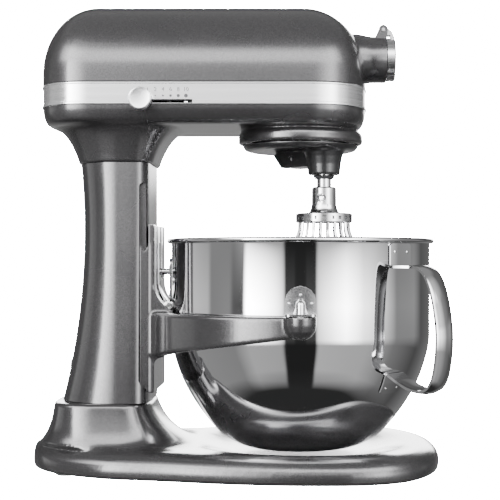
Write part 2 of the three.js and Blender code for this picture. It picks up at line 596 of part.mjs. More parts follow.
function supportCasting() {
  const { front, cheekRear, half, bottom, top, plateTop } = SLIDE;
  const face = COLUMN.front + 0.5;
  // The side view of the casting: a plate on the column that sweeps forward into the arms.
  const sweep = new THREE.Shape()
    .moveTo(face, bottom)
    .lineTo(front, bottom)
    .lineTo(front, 90)
    .absarc(front + 12, 90, 12, Math.PI, Math.PI / 2, true)
    .lineTo(-106, 105)
    .lineTo(-106, 142.2)
    .absarc(front + 26, 168.2, 26, -Math.PI / 2, -Math.PI, true)
    .lineTo(front, plateTop)
    .lineTo(face, plateTop);
  const block = new THREE.ExtrudeGeometry(sweep, { depth: 2 * half, bevelEnabled: false, curveSegments: 5 })
    .rotateX(Math.PI / 2)
    .translate(0, half, 0);
  const window = box(front - 1, -90, -24, 24, 152, plateTop + 1);
  const cheeks = [-1, 1].map((side) =>
    box(cheekRear, face + 1, Math.min(side * 40.6, side * half), Math.max(side * 40.6, side * half), bottom, top));
  const lug = cut(
    box(-190.5, face + 1, -7, 3.4, 107, 133),
    box(-189 + GAP, -162, -8, 5, 112.6, 127.4),
  );
  const boss = turned([[0, PIN.bossBottom], [6, PIN.bossBottom + 0.8], [11, PIN.bossBottom + 4.5],
    [PIN.bossRadius, PIN.bossBottom + 10], [PIN.bossRadius, PIN.bossTop], [0, PIN.bossTop]], 20).translate(0, PIN.y, 0);
  const right = supportArm().scale(1, -1, 1);
  flip(right);
  const bossRight = boss.clone().translate(0, -2 * PIN.y, 0);
  const pinHoles = [-1, 1].map((side) => bar("z", 128, 150, PIN.radius + GAP, [0, side * PIN.y], 14));
  const whole = join(block, ...cheeks, lug, supportArm(), right, boss, bossRight);
  return cut(whole, window, ...pinHoles, bowlRoom());
}

// A mirrored geometry has its faces turned round again.
function flip(geometry) {
  const index = geometry.index.array;
  for (let i = 0; i < index.length; i += 3) [index[i + 1], index[i + 2]] = [index[i + 2], index[i + 1]];
}

// The room that the bowl's wall needs inside the arms.
function bowlRoom() {
  return bar("z", 60, 260, BOWL.radius + 3.5, [0, 0], 40);
}

add("bowl_support", supportCasting(), PAINT);
for (const [side, y] of Object.entries({ left: -1, right: 1 })) {
  add(`locating_pin_${side}`, turned([[0, 128.4], [PIN.radius, 128.4], [PIN.radius, 151], [2.2, PIN.top], [0, PIN.top]], 14)
    .translate(0, y * PIN.y, 0), STEEL);
}

// A sprung steel strip that grips the stud at the back of the bowl.
function springLatch() {
  const [rear, front] = [SLIDE.front + GAP, SLIDE.front + 1.8];
  const strip = box(rear, front, -21, 21, 153, 219);
  return cut(strip, box(rear - 1, front + 1, -4.5, 4.5, 165, 230));
}

add("bowl_spring_latch", springLatch(), POLISHED);

// ---------- bowl ----------
// Points down the outside of the bowl from the rim to the middle of its flat bottom.
function bowlProfile(radius, bottom, offset) {
  const arcs = [
    { centre: [38, bottom + 54], radius: 54, from: 0, to: 47, steps: 3 },
    { centre: [38 + (54 - 172) * Math.sin(rad(47)), bottom + 54 + (172 - 54) * Math.cos(rad(47))], radius: 172, from: 54, to: 68, steps: 2 },
  ];
  const points = [[0, bottom + offset]];
  for (const arc of arcs) {
    for (let i = 0; i <= arc.steps; i++) {
      const t = rad(arc.from + ((arc.to - arc.from) * i) / arc.steps);
      points.push([arc.centre[0] + (arc.radius - offset) * Math.sin(t), arc.centre[1] - (arc.radius - offset) * Math.cos(t)]);
    }
  }
  points.push([radius - offset, bottom + 100]);
  return points;
}

function bowlShell() {
  const { radius, wall, bottom, rimZ, rollRadius, rollCentre } = BOWL;
  const outside = bowlProfile(radius, bottom, 0);
  const inside = bowlProfile(radius, bottom, wall);
  const roll = [-140, -70, 0, 70, 140].map((angle) =>
    [rollCentre + rollRadius * Math.cos(rad(angle)), rimZ + rollRadius * Math.sin(rad(angle))]);
  return turned([...outside, [radius, rimZ - 2.6], ...roll, [radius - wall, rimZ - 1], ...inside.reverse()], 36);
}

// A bracket plate follows the wall; its foot stands on the support's boss and takes the pin.
function pinBracket() {
  const plate = common(
    tube("z", 140, 175, BOWL.radius + 2.2, BOWL.radius + 0.4, [0, 0], 64),
    join(box(-12.8, 12.8, 100, 140, 142.7, 155), bar("y", 100, 140, 12.8, [0, 155], 24)),
  );
  const foot = cut(box(-12.8, 12.8, BOWL.radius + 0.9, 141, 142.7, 144.7), bar("z", 130, 160, PIN.radius + 0.6, [0, PIN.y], 16));
  const hood = cut(
    turned([[0, 144.2], [7.4, 144.2], [4.4, 163], [4.4, 166], [0, 166]], 14).translate(0, PIN.y - 5, 0),
    turned([[0, 143], [6, 143], [5.4, 150], [5.2, 160], [0, 161]], 14).translate(0, PIN.y, 0),
    box(-20, 20, PIN.y, 160, 140, 170),
    bar("z", 100, 200, BOWL.radius + 0.4, [0, 0], 64),
  );
  return join(plate, foot, hood);
}

function rearBracket() {
  const plate = common(
    tube("z", 148, 192, BOWL.radius + 2.4, BOWL.radius + 0.4, [0, 0], 64),
    box(-140, -100, -15, 15, 150, 190),
  );
  return join(plate, bar("x", SLIDE.front + GAP, -119, 3, [0, 178], 14));
}

// The handle is a strip bent into a D; the outline is in the radial plane of its azimuth.
function bowlHandle() {
  const { azimuth, reach, half, top, bottom, foot, thick } = HANDLE;
  const path = [[119.5, top], [132, top], [144, top - 1], [153, top - 8], [160, 158], [reach, 134], [reach + 0.4, 114],
    [161.5, 94], [156, 83], [147, bottom], [135, bottom + 1.5], [125, bottom + 5.4], [wallRadius(foot), foot]];
  const middle = new THREE.CatmullRomCurve3(path.map(([r, z]) => new THREE.Vector3(r, 0, z)));
  const rings = middle.getSpacedPoints(20).map((point, i) => {
    const along = middle.getTangentAt(i / 20);
    const out = new THREE.Vector3(along.z, 0, -along.x).multiplyScalar(-thick / 2);
    const bulge = 1 + 1.6 * Math.sin((Math.PI * i) / 20);
    return [[-half, 1], [0, bulge], [half, 1], [half, -1], [0, bulge - 2], [-half, -1]].map(([across, side]) =>
      point.clone().addScaledVector(out, side).add(new THREE.Vector3(0, across, 0)));
  });
  const strip = loft(rings);
  const upper = common(
    tube("z", 175, 204, BOWL.radius + 3, BOWL.radius + 0.4, [0, 0], 64),
    box(100, 130, -13.5, 13.5, top - 2, 202),
  );
  const lower = common(
    loft([[-0.4, 74], [3, 74], [3, foot + 1], [-0.4, foot + 1]].map(([out, z]) => wallArc(z, out))),
    box(80, 140, -12, 12, 60, 110),
  );
  return cut(join(strip, upper, lower), turned(wallSolid(0.3), 64)).rotateZ(rad(azimuth));
}

// The outside radius of the bowl at a height, on the tapering part of its wall.
function wallRadius(z) {
  const centreR = 38 + (54 - 172) * Math.sin(rad(47));
  const centreZ = BOWL.bottom + 54 + (172 - 54) * Math.cos(rad(47));
  return Math.min(BOWL.radius, centreR + Math.sqrt(172 ** 2 - (z - centreZ) ** 2));
}

function wallArc(z, out) {
  const r = wallRadius(z) + out;
  const spread = [-0.2, -0.1, 0, 0.1, 0.2];
  return spread.map((t) => new THREE.Vector3(r * Math.cos(t), r * Math.sin(t), z))
    .concat([new THREE.Vector3(60, 10, z), new THREE.Vector3(60, -10, z)]);
}

function wallSolid(out) {
  const outline = bowlProfile(BOWL.radius, BOWL.bottom, 0).map(([r, z]) => [r ? r + out : 0, z - out]);
  return [...outline, [BOWL.radius + out, BOWL.rimZ + 5], [0, BOWL.rimZ + 5]];
}

add("bowl_shell", bowlShell(), POLISHED);
add("bowl_handle", bowlHandle(), POLISHED);
add("pin_bracket_right", pinBracket(), POLISHED);
add("pin_bracket_left", pinBracket().rotateZ(Math.PI), POLISHED);
add("rear_bracket", rearBracket(), POLISHED);

// ---------- bowl lift ----------
// Built with the crank and lever pointing along -X, then turned to where they rest with the bowl down.
function crank() {
  const throwLength = LIFT.travel / 2 / Math.sin(rad(LIFT.swing / 2));
  const web = join(
    bar("y", 5.4, 11.4, 9, [0, 0], 20),
    bar("y", 5.4, 11.4, 7, [-throwLength, 0], 18),
    box(-throwLength, 0, 5.4, 11.4, -6, 6),
  );
  const pin = bar("y", -9, 6, 2.5, [-throwLength, 0], 12);
  const arm = cut(join(web, pin), bar("y", 4, 13, LIFT.shaftRadius + 0.3, [0, 0], 16));
  const roller = tube("y", -8.6, 5, LIFT.rollerRadius, 2.8, [-throwLength, 0], 16);
  return { arm, roller };
}

const restCrank = (g) => g.rotateY(-rad(LIFT.swing / 2)).translate(LIFT.x, 0, LIFT.z);
const restLever = (g) => g.rotateY(rad(180 - LEVER.rest)).translate(LIFT.x, 0, LIFT.z);
const { arm, roller } = crank();
add("lift_crank", restCrank(arm), STEEL);
add("lift_roller", restCrank(roller), BRASS);
add("lift_shaft", bar("y", 5.8, 64, LIFT.shaftRadius, [LIFT.x, LIFT.z], 18), STEEL);
add("lift_shaft_bush", cut(
  join(bar("y", 38, 56, 7.7, [LIFT.x, LIFT.z], 20), bar("y", 53, 56, 11, [LIFT.x, LIFT.z], 20)),
  bar("y", 30, 60, LIFT.shaftRadius + 0.3, [LIFT.x, LIFT.z], 18),
), BRASS);
add("lift_lever", restLever(cut(
  join(
    bar("y", LEVER.y, LEVER.y + 6, 10, [0, 0], 20),
    box(8 - LEVER.length, 0, LEVER.y, LEVER.y + 5, -5.5, 5.5),
  ),
  bar("y", 50, 70, LIFT.shaftRadius + 0.3, [0, 0], 18),
)), POLISHED);
add("lift_lever_knob", restLever(cut(
  new THREE.SphereGeometry(9, 16, 12).scale(1.7, 0.8, 1).translate(-LEVER.length + 1, LEVER.y + 3, 0),
  box(-LEVER.length + 7.6, 20, 40, 80, -6, 6),
)), BLACK_PLASTIC);

export default mixer;
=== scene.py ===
"""A bowl-lift stand mixer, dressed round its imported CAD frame.

Shapes are worked out in millimetres round the mixing axis, and placed in metres in the frame.
"""

import json
import math

import bmesh
import bpy
import numpy as np
from mathutils import Matrix, Vector


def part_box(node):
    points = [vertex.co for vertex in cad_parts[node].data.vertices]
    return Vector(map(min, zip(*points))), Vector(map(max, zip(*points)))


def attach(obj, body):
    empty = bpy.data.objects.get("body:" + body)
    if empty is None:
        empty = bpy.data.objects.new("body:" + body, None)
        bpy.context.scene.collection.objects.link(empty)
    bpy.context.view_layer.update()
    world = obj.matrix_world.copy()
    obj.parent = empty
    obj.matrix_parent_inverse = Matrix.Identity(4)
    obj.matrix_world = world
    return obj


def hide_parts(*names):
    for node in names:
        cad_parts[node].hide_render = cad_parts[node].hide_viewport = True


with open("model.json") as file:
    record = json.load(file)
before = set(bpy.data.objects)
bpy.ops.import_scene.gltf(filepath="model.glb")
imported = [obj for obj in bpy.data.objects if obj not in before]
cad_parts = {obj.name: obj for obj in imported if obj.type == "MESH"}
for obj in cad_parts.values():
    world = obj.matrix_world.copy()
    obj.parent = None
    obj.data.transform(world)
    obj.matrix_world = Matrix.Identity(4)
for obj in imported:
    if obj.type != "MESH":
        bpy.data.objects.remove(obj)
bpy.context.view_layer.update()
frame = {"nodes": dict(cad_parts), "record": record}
collection = bpy.context.scene.collection

# ---------- the frame's places ----------
MM = 0.001


def corners(node):
    """The lowest and highest corner of a CAD node in millimetres, x measured from the mixing axis."""
    low, high = (np.array(corner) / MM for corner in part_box(node))
    return low - [AXIS_X, 0, 0], high - [AXIS_X, 0, 0]


def centre(node):
    low, high = corners(node)
    return (low + high) / 2


AXIS_X = 0.0  # until the bowl says where the mixing axis is
AXIS_X = centre("bowl_shell")[0]

HEAD_LOW, HEAD_TOP = corners("gearcase_housing")[0], corners("head_cover")[1][2]
HEAD_HALF = corners("head_cover")[1][1] + 0.3
# Where the head's straight sides end, and how far each end reaches past that.
HEAD_REAR = (-180.5, 52.5)
HEAD_FRONT = (0.0, 59.6)
SHOULDER = 354.0
BAND_BOTTOM, BAND_TOP = corners("trim_band")[0][2], corners("trim_band")[1][2]
COLUMN_BOTTOM, COLUMN_TOP = corners("column_casting")[0][2], corners("column_casting")[1][2]
COLUMN_FRONT = corners("column_casting")[1][0]
BOSS_BOTTOM = HEAD_LOW[2] + 18.5
UNDERSIDE = HEAD_LOW[2] + 32
HUB_Z = centre("hub_drive_shaft")[2]
SHAFT = centre("beater_shaft")
ARM_ANGLE = math.atan2(SHAFT[1], SHAFT[0])
BOWL_LOW, BOWL_HIGH = corners("bowl_shell")
BOWL_RADIUS = 118.0
WALL = 1.1
PIN_Y = centre("locating_pin_right")[1]
COLLAR_TOP = 62.0
COLUMN_X = -161  # where the column's two blunt ends meet


# ---------- meshes ----------
def mesh_object(name, verts, faces):
    mesh = bpy.data.meshes.new(name)
    points = np.asarray(verts, dtype=float) * MM
    points[:, 0] += AXIS_X * MM
    mesh.from_pydata(points.tolist(), [], [list(face) for face in faces])
    obj = bpy.data.objects.new(name, mesh)
    collection.objects.link(obj)
    tidy_mesh(obj)
    return obj


def tidy_mesh(obj):
    """Merges doubled points and turns every face outwards."""
    work = bmesh.new()
    work.from_mesh(obj.data)
    bmesh.ops.remove_doubles(work, verts=work.verts, dist=1e-6)
    bmesh.ops.dissolve_degenerate(work, edges=work.edges, dist=1e-7)
    bmesh.ops.recalc_face_normals(work, faces=work.faces)
    work.to_mesh(obj.data)
    work.free()


def loft(name, rings, closed=False, capped=True):
    """Skins a row of rings with the same number of points."""
    rings = np.asarray(rings, dtype=float)
    rows, count = rings.shape[:2]
    index = np.arange(rows * count).reshape(rows, count)
    faces = []
    for i in range(rows if closed else rows - 1):
        a, b = index[i], index[(i + 1) % rows]
        faces += [(a[j], a[(j + 1) % count], b[(j + 1) % count], b[j]) for j in range(count)]
    if capped and not closed:
        faces += [tuple(index[0][::-1]), tuple(index[-1])]
    return mesh_object(name, rings.reshape(-1, 3), faces)


def turned(name, profile, segments=96, at=(0, 0, 0), axis="z"):
    """Turns a profile of (radius, height) about an axis through a point; a closed profile makes a ring."""
    angles = np.linspace(0, 2 * math.pi, segments, endpoint=False)
    profile = [(max(r, 0.0), h) for r, h in profile]
    rings = []
    for angle in angles:
        c, s = math.cos(angle), math.sin(angle)
        places = {"x": lambda r, h: (h, r * c, r * s),
                  "y": lambda r, h: (r * c, h, r * s),
                  "z": lambda r, h: (r * c, r * s, h)}
        rings.append([np.add(places[axis](r, h), at) for r, h in profile])
    return loft(name, rings, closed=True)


def rod(name, radius, low, high, segments, at=(0, 0, 0), axis="z"):
    """A plain round bar, mostly a tool that bores a hole."""
    return turned(name, [(0, low), (radius, low), (radius, high), (0, high)], segments, at, axis)


def box(name, x0, x1, y0, y1, z0, z1):
    corner = [(x, y, z) for x in (x0, x1) for y in (y0, y1) for z in (z0, z1)]
    faces = [(0, 1, 3, 2), (4, 6, 7, 5), (0, 4, 5, 1), (2, 3, 7, 6), (0, 2, 6, 4), (1, 5, 7, 3)]
    return mesh_object(name, corner, faces)


def prism(name, outline, low, high, axis="y"):
    """A flat outline pushed along an axis; its points hold the other two, in the order of the alphabet."""
    def ring(depth):
        order = {"x": lambda a, b: (depth, a, b),
                 "y": lambda a, b: (a, depth, b),
                 "z": lambda a, b: (a, b, depth)}
        return [order[axis](a, b) for a, b in outline]
    return loft(name, [ring(low), ring(high)])


def arc(cx, cy, radius, start, end, steps=10):
    """Points on an arc, in degrees."""
    return [(cx + radius * math.cos(math.radians(t)), cy + radius * math.sin(math.radians(t)))
            for t in np.linspace(start, end, steps + 1)]


def spline(points, count, closed=False):
    """A smooth curve through points, evenly spaced along its length."""
    points = np.asarray(points, dtype=float)
    if closed:
        padded = np.vstack([points[-1], points, points[0], points[1]])
    else:
        padded = np.vstack([2 * points[0] - points[1], points, 2 * points[-1] - points[-2]])
    fine = []
    for p0, p1, p2, p3 in zip(padded, padded[1:], padded[2:], padded[3:]):
        for t in np.linspace(0, 1, 24, endpoint=False):
            fine.append(0.5 * (2 * p1 + (p2 - p0) * t + (2 * p0 - 5 * p1 + 4 * p2 - p3) * t ** 2
                               + (3 * p1 - p0 - 3 * p2 + p3) * t ** 3))
    fine.append(points[0] if closed else points[-1])
    fine = np.array(fine)
    length = np.concatenate([[0], np.cumsum(np.linalg.norm(np.diff(fine, axis=0), axis=1))])
    wanted = np.linspace(0, length[-1], count, endpoint=not closed)
    return np.stack([np.interp(wanted, length, fine[:, k]) for k in range(points.shape[1])], axis=1)


def sweep(name, path, section, across=None):
    """Pushes a closed section of (side, out) points along a path. across fixes the side direction."""
    path = np.asarray(path, dtype=float)
    tangents = np.gradient(path, axis=0)
    tangents /= np.linalg.norm(tangents, axis=1)[:, None]
    side = np.array(across if across is not None else np.cross(tangents[0], [0.3, 0.5, 0.8]), dtype=float)
    rings = []
    for i, (point, tangent) in enumerate(zip(path, tangents)):
        side = side - tangent * side.dot(tangent)
        side /= np.linalg.norm(side)
        out = np.cross(tangent, side)
        here = section(i / (len(path) - 1)) if callable(section) else section
        rings.append([point + a * side + b * out for a, b in here])
    return loft(name, rings)


def circle(radius, sides):
    angles = np.linspace(0, 2 * math.pi, sides, endpoint=False)
    return [(radius * math.cos(t), radius * math.sin(t)) for t in angles]


def place(obj, angle, at=(0, 0, 0)):
    """Turns a piece that was built about the origin round +Z and moves it into place."""
    home = Matrix.Translation(Vector((AXIS_X * MM, 0, 0)))
    shift = Matrix.Translation(Vector(at) * MM)
    obj.data.transform(home @ shift @ Matrix.Rotation(angle, 4, "Z") @ home.inverted())
    return obj


def apply_modifiers(obj):
    depsgraph = bpy.context.evaluated_depsgraph_get()
    mesh = bpy.data.meshes.new_from_object(obj.evaluated_get(depsgraph))
    old = obj.data
    obj.modifiers.clear()
    obj.data = mesh
    bpy.data.meshes.remove(old)
    return obj


def combine(obj, operation, tools):
    for tool in tools:
        modifier = obj.modifiers.new("bool", "BOOLEAN")
        modifier.operation = operation
        modifier.solver = "EXACT"
        modifier.object = tool
    apply_modifiers(obj)
    for tool in tools:
        bpy.data.objects.remove(tool)
    return obj


def join(obj, *tools):
    return combine(obj, "UNION", tools)


def cut(obj, *tools):
    return combine(obj, "DIFFERENCE", tools)


def cast_surface(obj, voxel, rounds):
    """Rounds every edge and corner as a casting has them."""
    remesh = obj.modifiers.new("remesh", "REMESH")
    remesh.mode = "VOXEL"
    remesh.voxel_size = voxel * MM
    soften = obj.modifiers.new("soften", "SMOOTH")
    soften.factor = 0.5
    soften.iterations = rounds
    return apply_modifiers(obj)


def shade(obj, angle):
    """Smooth shading, with edges sharper than the angle kept crisp."""
    work = bmesh.new()
    work.from_mesh(obj.data)
    for face in work.faces:
        face.smooth = True
    for edge in work.edges:
        edge.smooth = len(edge.link_faces) == 2 and edge.calc_face_angle(0) < math.radians(angle)
    work.to_mesh(obj.data)
    work.free()


def piece(obj, material, body, stands_for=(), angle=35):
    """Gives a finished mesh its shading, material and body, and hides the CAD nodes that it stands for."""
    shade(obj, angle)
    obj.data.materials.clear()
    obj.data.materials.append(material)
    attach(obj, body)
    if stands_for:
        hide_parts(*stands_for)
    return obj


def bevel(obj, width, segments=3, angle=40):
    modifier = obj.modifiers.new("bevel", "BEVEL")
    modifier.width = width * MM
    modifier.segments = segments
    modifier.limit_method = "ANGLE"
    modifier.angle_limit = math.radians(angle)
    modifier.harden_normals = False
    return obj


# ---------- materials ----------
class Tree:
    """A node tree, with short ways to add a node and to link two."""

    def add(self, kind, **settings):
        """Settings are the node's own, or values of its sockets with _ for a space."""
        node = self.tree.nodes.new(kind)
        for key, value in settings.items():
            socket = key.replace("_", " ")
            if socket in node.inputs:
                node.inputs[socket].default_value = value
            else:
                setattr(node, key, value)
        return node

    def link(self, output, target):
        self.tree.links.new(output, target)


class Nodes(Tree):
    """A material with its Principled shader, and short ways to add what feeds it."""

    def __init__(self, name, color, metallic, roughness, **sockets):
        self.material = bpy.data.materials.new(name)
        self.material.use_nodes = True
        self.tree = self.material.node_tree
        self.shader = self.tree.nodes["Principled BSDF"]
        self.set("Base Color", (*color, 1.0))
        self.set("Metallic", metallic)
        self.set("Roughness", roughness)
        for socket, value in sockets.items():
            self.set(socket.replace("_", " "), value)
        self.coords = self.add("ShaderNodeTexCoord").outputs["Object"]

    def set(self, socket, value):
        self.shader.inputs[socket].default_value = value

    def stretched(self, scale):
        mapping = self.add("ShaderNodeMapping", Scale=scale)
        self.link(self.coords, mapping.inputs["Vector"])
        return mapping.outputs["Vector"]

    def noise(self, scale, detail=3.0, vector=None):
        node = self.add("ShaderNodeTexNoise", Scale=scale, Detail=detail)
        self.link(vector or self.coords, node.inputs["Vector"])
        return node.outputs["Fac"]

    def remap(self, value, low, high, start=0.35, end=0.65):
        node = self.add("ShaderNodeMapRange", From_Min=start, From_Max=end, To_Min=low, To_Max=high)
        self.link(value, node.inputs["Value"])
        return node.outputs["Result"]

    def tint(self, value, dark, light):
        node = self.add("ShaderNodeMix", data_type="RGBA")
        node.inputs[6].default_value = (*dark, 1.0)
        node.inputs[7].default_value = (*light, 1.0)
        self.link(value, node.inputs[0])
        self.link(node.outputs[2], self.shader.inputs["Base Color"])

    def rough(self, value, low, high):
        self.link(self.remap(value, low, high), self.shader.inputs["Roughness"])

    def bump(self, height, strength, distance):
        node = self.add("ShaderNodeBump", Strength=strength, Distance=distance)
        self.link(height, node.inputs["Height"])
        self.link(node.outputs["Normal"], self.shader.inputs["Normal"])


def metallic_paint(name, dark, light, roughness):
    """Dark base coat with a fine bright flake under clear lacquer."""
    m = Nodes(name, dark, 0.75, roughness, Coat_Weight=1.0, Coat_Roughness=0.14, Coat_IOR=1.5)
    flake = m.add("ShaderNodeTexVoronoi", Scale=2200.0)
    m.link(m.coords, flake.inputs["Vector"])
    split = m.add("ShaderNodeSeparateColor")
    m.link(flake.outputs["Color"], split.inputs["Color"])
    cloud = m.noise(9.0)
    blend = m.add("ShaderNodeMath", operation="MULTIPLY_ADD")
    m.link(cloud, blend.inputs[0])
    blend.inputs[1].default_value = 0.35
    m.link(split.outputs["Red"], blend.inputs[2])
    m.tint(m.remap(blend.outputs[0], 0.0, 1.0, 0.1, 1.2), dark, light)
    m.rough(cloud, roughness - 0.04, roughness + 0.05)
    m.bump(split.outputs["Green"], 0.09, 0.0001)
    return m.material


def polished_steel(name, color, roughness, streak):
    """Polished sheet: nearly a mirror, with faint polishing lines and smudges."""
    m = Nodes(name, color, 1.0, roughness)
    lines = m.noise(1.0, 2.0, m.stretched((900.0, 900.0, 25.0)))
    smudge = m.noise(14.0, 4.0)
    m.rough(smudge, roughness * 0.7, roughness * 1.5)
    m.tint(m.remap(smudge, 0.0, 1.0), [c * 0.96 for c in color], color)
    m.bump(lines, streak, 0.00002)
    return m.material


def brushed_metal(name, color, roughness, scale, metallic=1.0, depth=0.08):
    """Satin metal with grain along one direction."""
    m = Nodes(name, color, metallic, roughness)
    grain = m.noise(1.0, 3.0, m.stretched(scale))
    m.rough(grain, roughness * 0.85, roughness * 1.2)
    m.tint(m.remap(grain, 0.0, 1.0), [c * 0.94 for c in color], color)
    m.bump(grain, depth, 0.00005)
    return m.material


def moulded(name, color, roughness, grain_scale=900.0):
    """Moulded plastic or rubber with a fine grain."""
    m = Nodes(name, color, 0.0, roughness)
    grain = m.noise(grain_scale, 2.0)
    wear = m.noise(30.0, 4.0)
    m.tint(m.remap(wear, 0.0, 1.0), color, [min(1.0, c * 1.5 + 0.004) for c in color])
    m.rough(wear, roughness - 0.06, roughness + 0.08)
    m.bump(grain, 0.15, 0.00008)
    return m.material


PAINT = metallic_paint("graphite_paint", (0.048, 0.047, 0.049), (0.098, 0.096, 0.099), 0.26)
DARK_PAINT = metallic_paint("planetary_paint", (0.028, 0.028, 0.029), (0.05, 0.05, 0.052), 0.3)
POLISHED = polished_steel("polished_steel", (0.86, 0.86, 0.87), 0.045, 0.04)
BAND_METAL = brushed_metal("satin_band", (0.93, 0.93, 0.94), 0.2, (6.0, 6.0, 900.0), 0.9, 0.02)
KNOB_METAL = brushed_metal("satin_knob", (0.85, 0.85, 0.86), 0.33, (900.0, 900.0, 900.0), 1.0, 0.04)
CAP_METAL = brushed_metal("brushed_cap", (0.74, 0.74, 0.75), 0.24, (30.0, 700.0, 700.0))
TURNED = brushed_metal("turned_steel", (0.76, 0.76, 0.77), 0.18, (60.0, 60.0, 1600.0))
BRACKET_METAL = brushed_metal("pressed_steel", (0.6, 0.6, 0.61), 0.2, (1200.0, 1200.0, 1200.0), 1.0, 0.01)
STEEL = brushed_metal("machined_steel", (0.52, 0.52, 0.53), 0.3, (500.0, 500.0, 500.0))
CAST = brushed_metal("cast_aluminium", (0.45, 0.46, 0.47), 0.5, (260.0, 260.0, 260.0), 0.9)
BRASS = brushed_metal("bronze", (0.62, 0.44, 0.18), 0.3, (400.0, 400.0, 400.0))
COPPER = brushed_metal("copper_windings", (0.62, 0.26, 0.12), 0.35, (1500.0, 60.0, 60.0))
RUBBER = moulded("rubber", (0.022, 0.022, 0.023), 0.72)
BLACK = moulded("black_plastic", (0.022, 0.022, 0.024), 0.42)
BOARD = moulded("circuit_board", (0.03, 0.13, 0.06), 0.5)
PRINT = moulded("grey_print", (0.07, 0.07, 0.075), 0.5)

SLOT_MATERIAL = {"paint": PAINT, "dark_paint": DARK_PAINT, "polished": POLISHED, "satin": BAND_METAL,
                 "steel": STEEL, "cast": CAST, "brass": BRASS, "copper": COPPER, "rubber": RUBBER,
                 "black_plastic": BLACK, "board": BOARD,}
slots = {row["node"]: row["material_slot"] for row in frame["record"]["subparts"]}
for node_name, node in frame["nodes"].items():
    node.data.materials.clear()
    node.data.materials.append(SLOT_MATERIAL[slots[node_name]])


# ---------- outlines ----------
def blunt_ring(z, rear, front, half, blunt, count=128):
    """A level ring with straight sides between its blunt ends; rear and front are (centre, reach)."""
    t = np.linspace(0, 2 * math.pi, count, endpoint=False)
    if isinstance(blunt, tuple):
        blunt = np.where(np.cos(t) > 0, blunt[1], blunt[0])
    along = np.abs(np.cos(t)) ** (2 / blunt)
    across = np.sign(np.sin(t)) * np.abs(np.sin(t)) ** (2 / blunt)
    x = np.where(np.cos(t) > 0, front[0] + front[1] * along, rear[0] - rear[1] * along)
    return np.stack([x, half * across, np.full(count, float(z))], axis=1)


def head_ring(z, inset=0.0, swell=1.0, count=128):
    return blunt_ring(z, (HEAD_REAR[0], (HEAD_REAR[1] - inset) * swell),
                      (HEAD_FRONT[0], (HEAD_FRONT[1] - inset) * swell), (HEAD_HALF - inset) * swell,
                      2.6, count)


def column_ring(z, inset=0.0, count=192):
    rear = -197.5 - 8.33e-4 * (z - 215) ** 2
    share = (z - COLUMN_BOTTOM) / (COLUMN_TOP - COLUMN_BOTTOM)
    half = 52 - 6 * share
    return blunt_ring(z, (COLUMN_X, COLUMN_X - rear - inset), (COLUMN_X, 26 - inset), half - inset,
                      (2.1, 6.0), count)


def neck_ring(z, inset=0.0, count=256):
    share = min(1.0, (z - COLUMN_TOP) / (UNDERSIDE - COLUMN_TOP))
    flare = 0.4 * share + 0.6 * (1 - math.sqrt(max(0.0, 1 - share * share)))
    return blunt_ring(z, (COLUMN_X, 41 + 22 * flare - inset), (COLUMN_X, 28.5 + 24 * flare - inset),
                      48 + 15 * flare - inset, (2.1, 5.0 - 1.4 * flare), count)


# ---------- base ----------
OUTLINE = [(126, 0), (119, 50), (96, 91.5), (60, 111), (5, 114.5), (-60, 107), (-120, 92), (-172, 79.5),
           (-216, 54), (-238, 25), (-244, 0)]


def base_outline(count):
    mirrored = [(x, -y) for x, y in OUTLINE[1:-1]][::-1]
    return spline(OUTLINE + mirrored, count, closed=True)


def collar_ring(flare, count):
    """The outline of the collar round the column's foot; flare widens it towards the plate."""
    blunt = 2.8 - 0.5 * min(1.0, flare / 12)
    ring = blunt_ring(0, (-178, 45 + flare * 0.68), (-160, 27 + flare * 1.65), 56 + flare * 0.36, blunt,
                      720)[:, :2]
    return spline(ring, count, closed=True)


def base_surface():
    """One skin from the bottom edge, over the rim and the plate, and up the collar to its top."""
    count = 240
    outline = base_outline(count)
    tangent = np.roll(outline, -1, axis=0) - np.roll(outline, 1, axis=0)
    inward = np.stack([-tangent[:, 1], tangent[:, 0]], axis=1) / np.linalg.norm(tangent, axis=1)[:, None]
    foot = collar_ring(22, count)
    room = np.linalg.norm(foot - outline, axis=1)
    narrow = np.clip(room / 34, 0.25, 1.0)[:, None]
    crest, rim_width = 23.6, 16
    dish_depth, dish_radius, dish_slope = 9.5, 96, 34

    def level(plan, z):
        return np.column_stack([plan, np.broadcast_to(z, count)])

    rings = [level(outline + inward * 4, 0.4), level(outline + inward * 1.2, 1.4)]
    rings += [level(outline + inward * 0.2, 4.5), level(outline, 9.0)]
    for t in np.linspace(0.12, 1.0, 12):
        angle = t * math.pi / 2
        rings.append(level(outline + inward * narrow * rim_width * (1 - math.cos(angle)),
                           10 + (crest - 10) * math.sin(angle)))
    edge = outline + inward * narrow * rim_width
    for s in np.linspace(0, 1, 16)[1:]:
        plan = edge + (foot - edge) * s
        radius = np.linalg.norm(plan, axis=1)
        slope = np.clip((dish_radius - radius) / dish_slope, 0, 1)
        dish = dish_depth * np.sin(slope * math.pi / 2) ** 2
        rings.append(level(plan, crest + 0.4 * s - dish))
    for rise, flare in [(2.6, 18.5), (6, 14.6), (10, 10.8), (15, 7.2), (21, 4.2), (27, 2.1), (33, 0.6),
                        (36.6, 0)]:
        rings.append(level(collar_ring(flare, count), crest + 0.4 + rise))
    top = collar_ring(0, count)
    middle = top.mean(axis=0)
    for shrink, z in [(0.985, COLLAR_TOP - 0.4), (0.965, COLLAR_TOP), (0.9, COLLAR_TOP)]:
        rings.append(level(middle + (top - middle) * shrink, z))
    return loft("base_shell", rings)


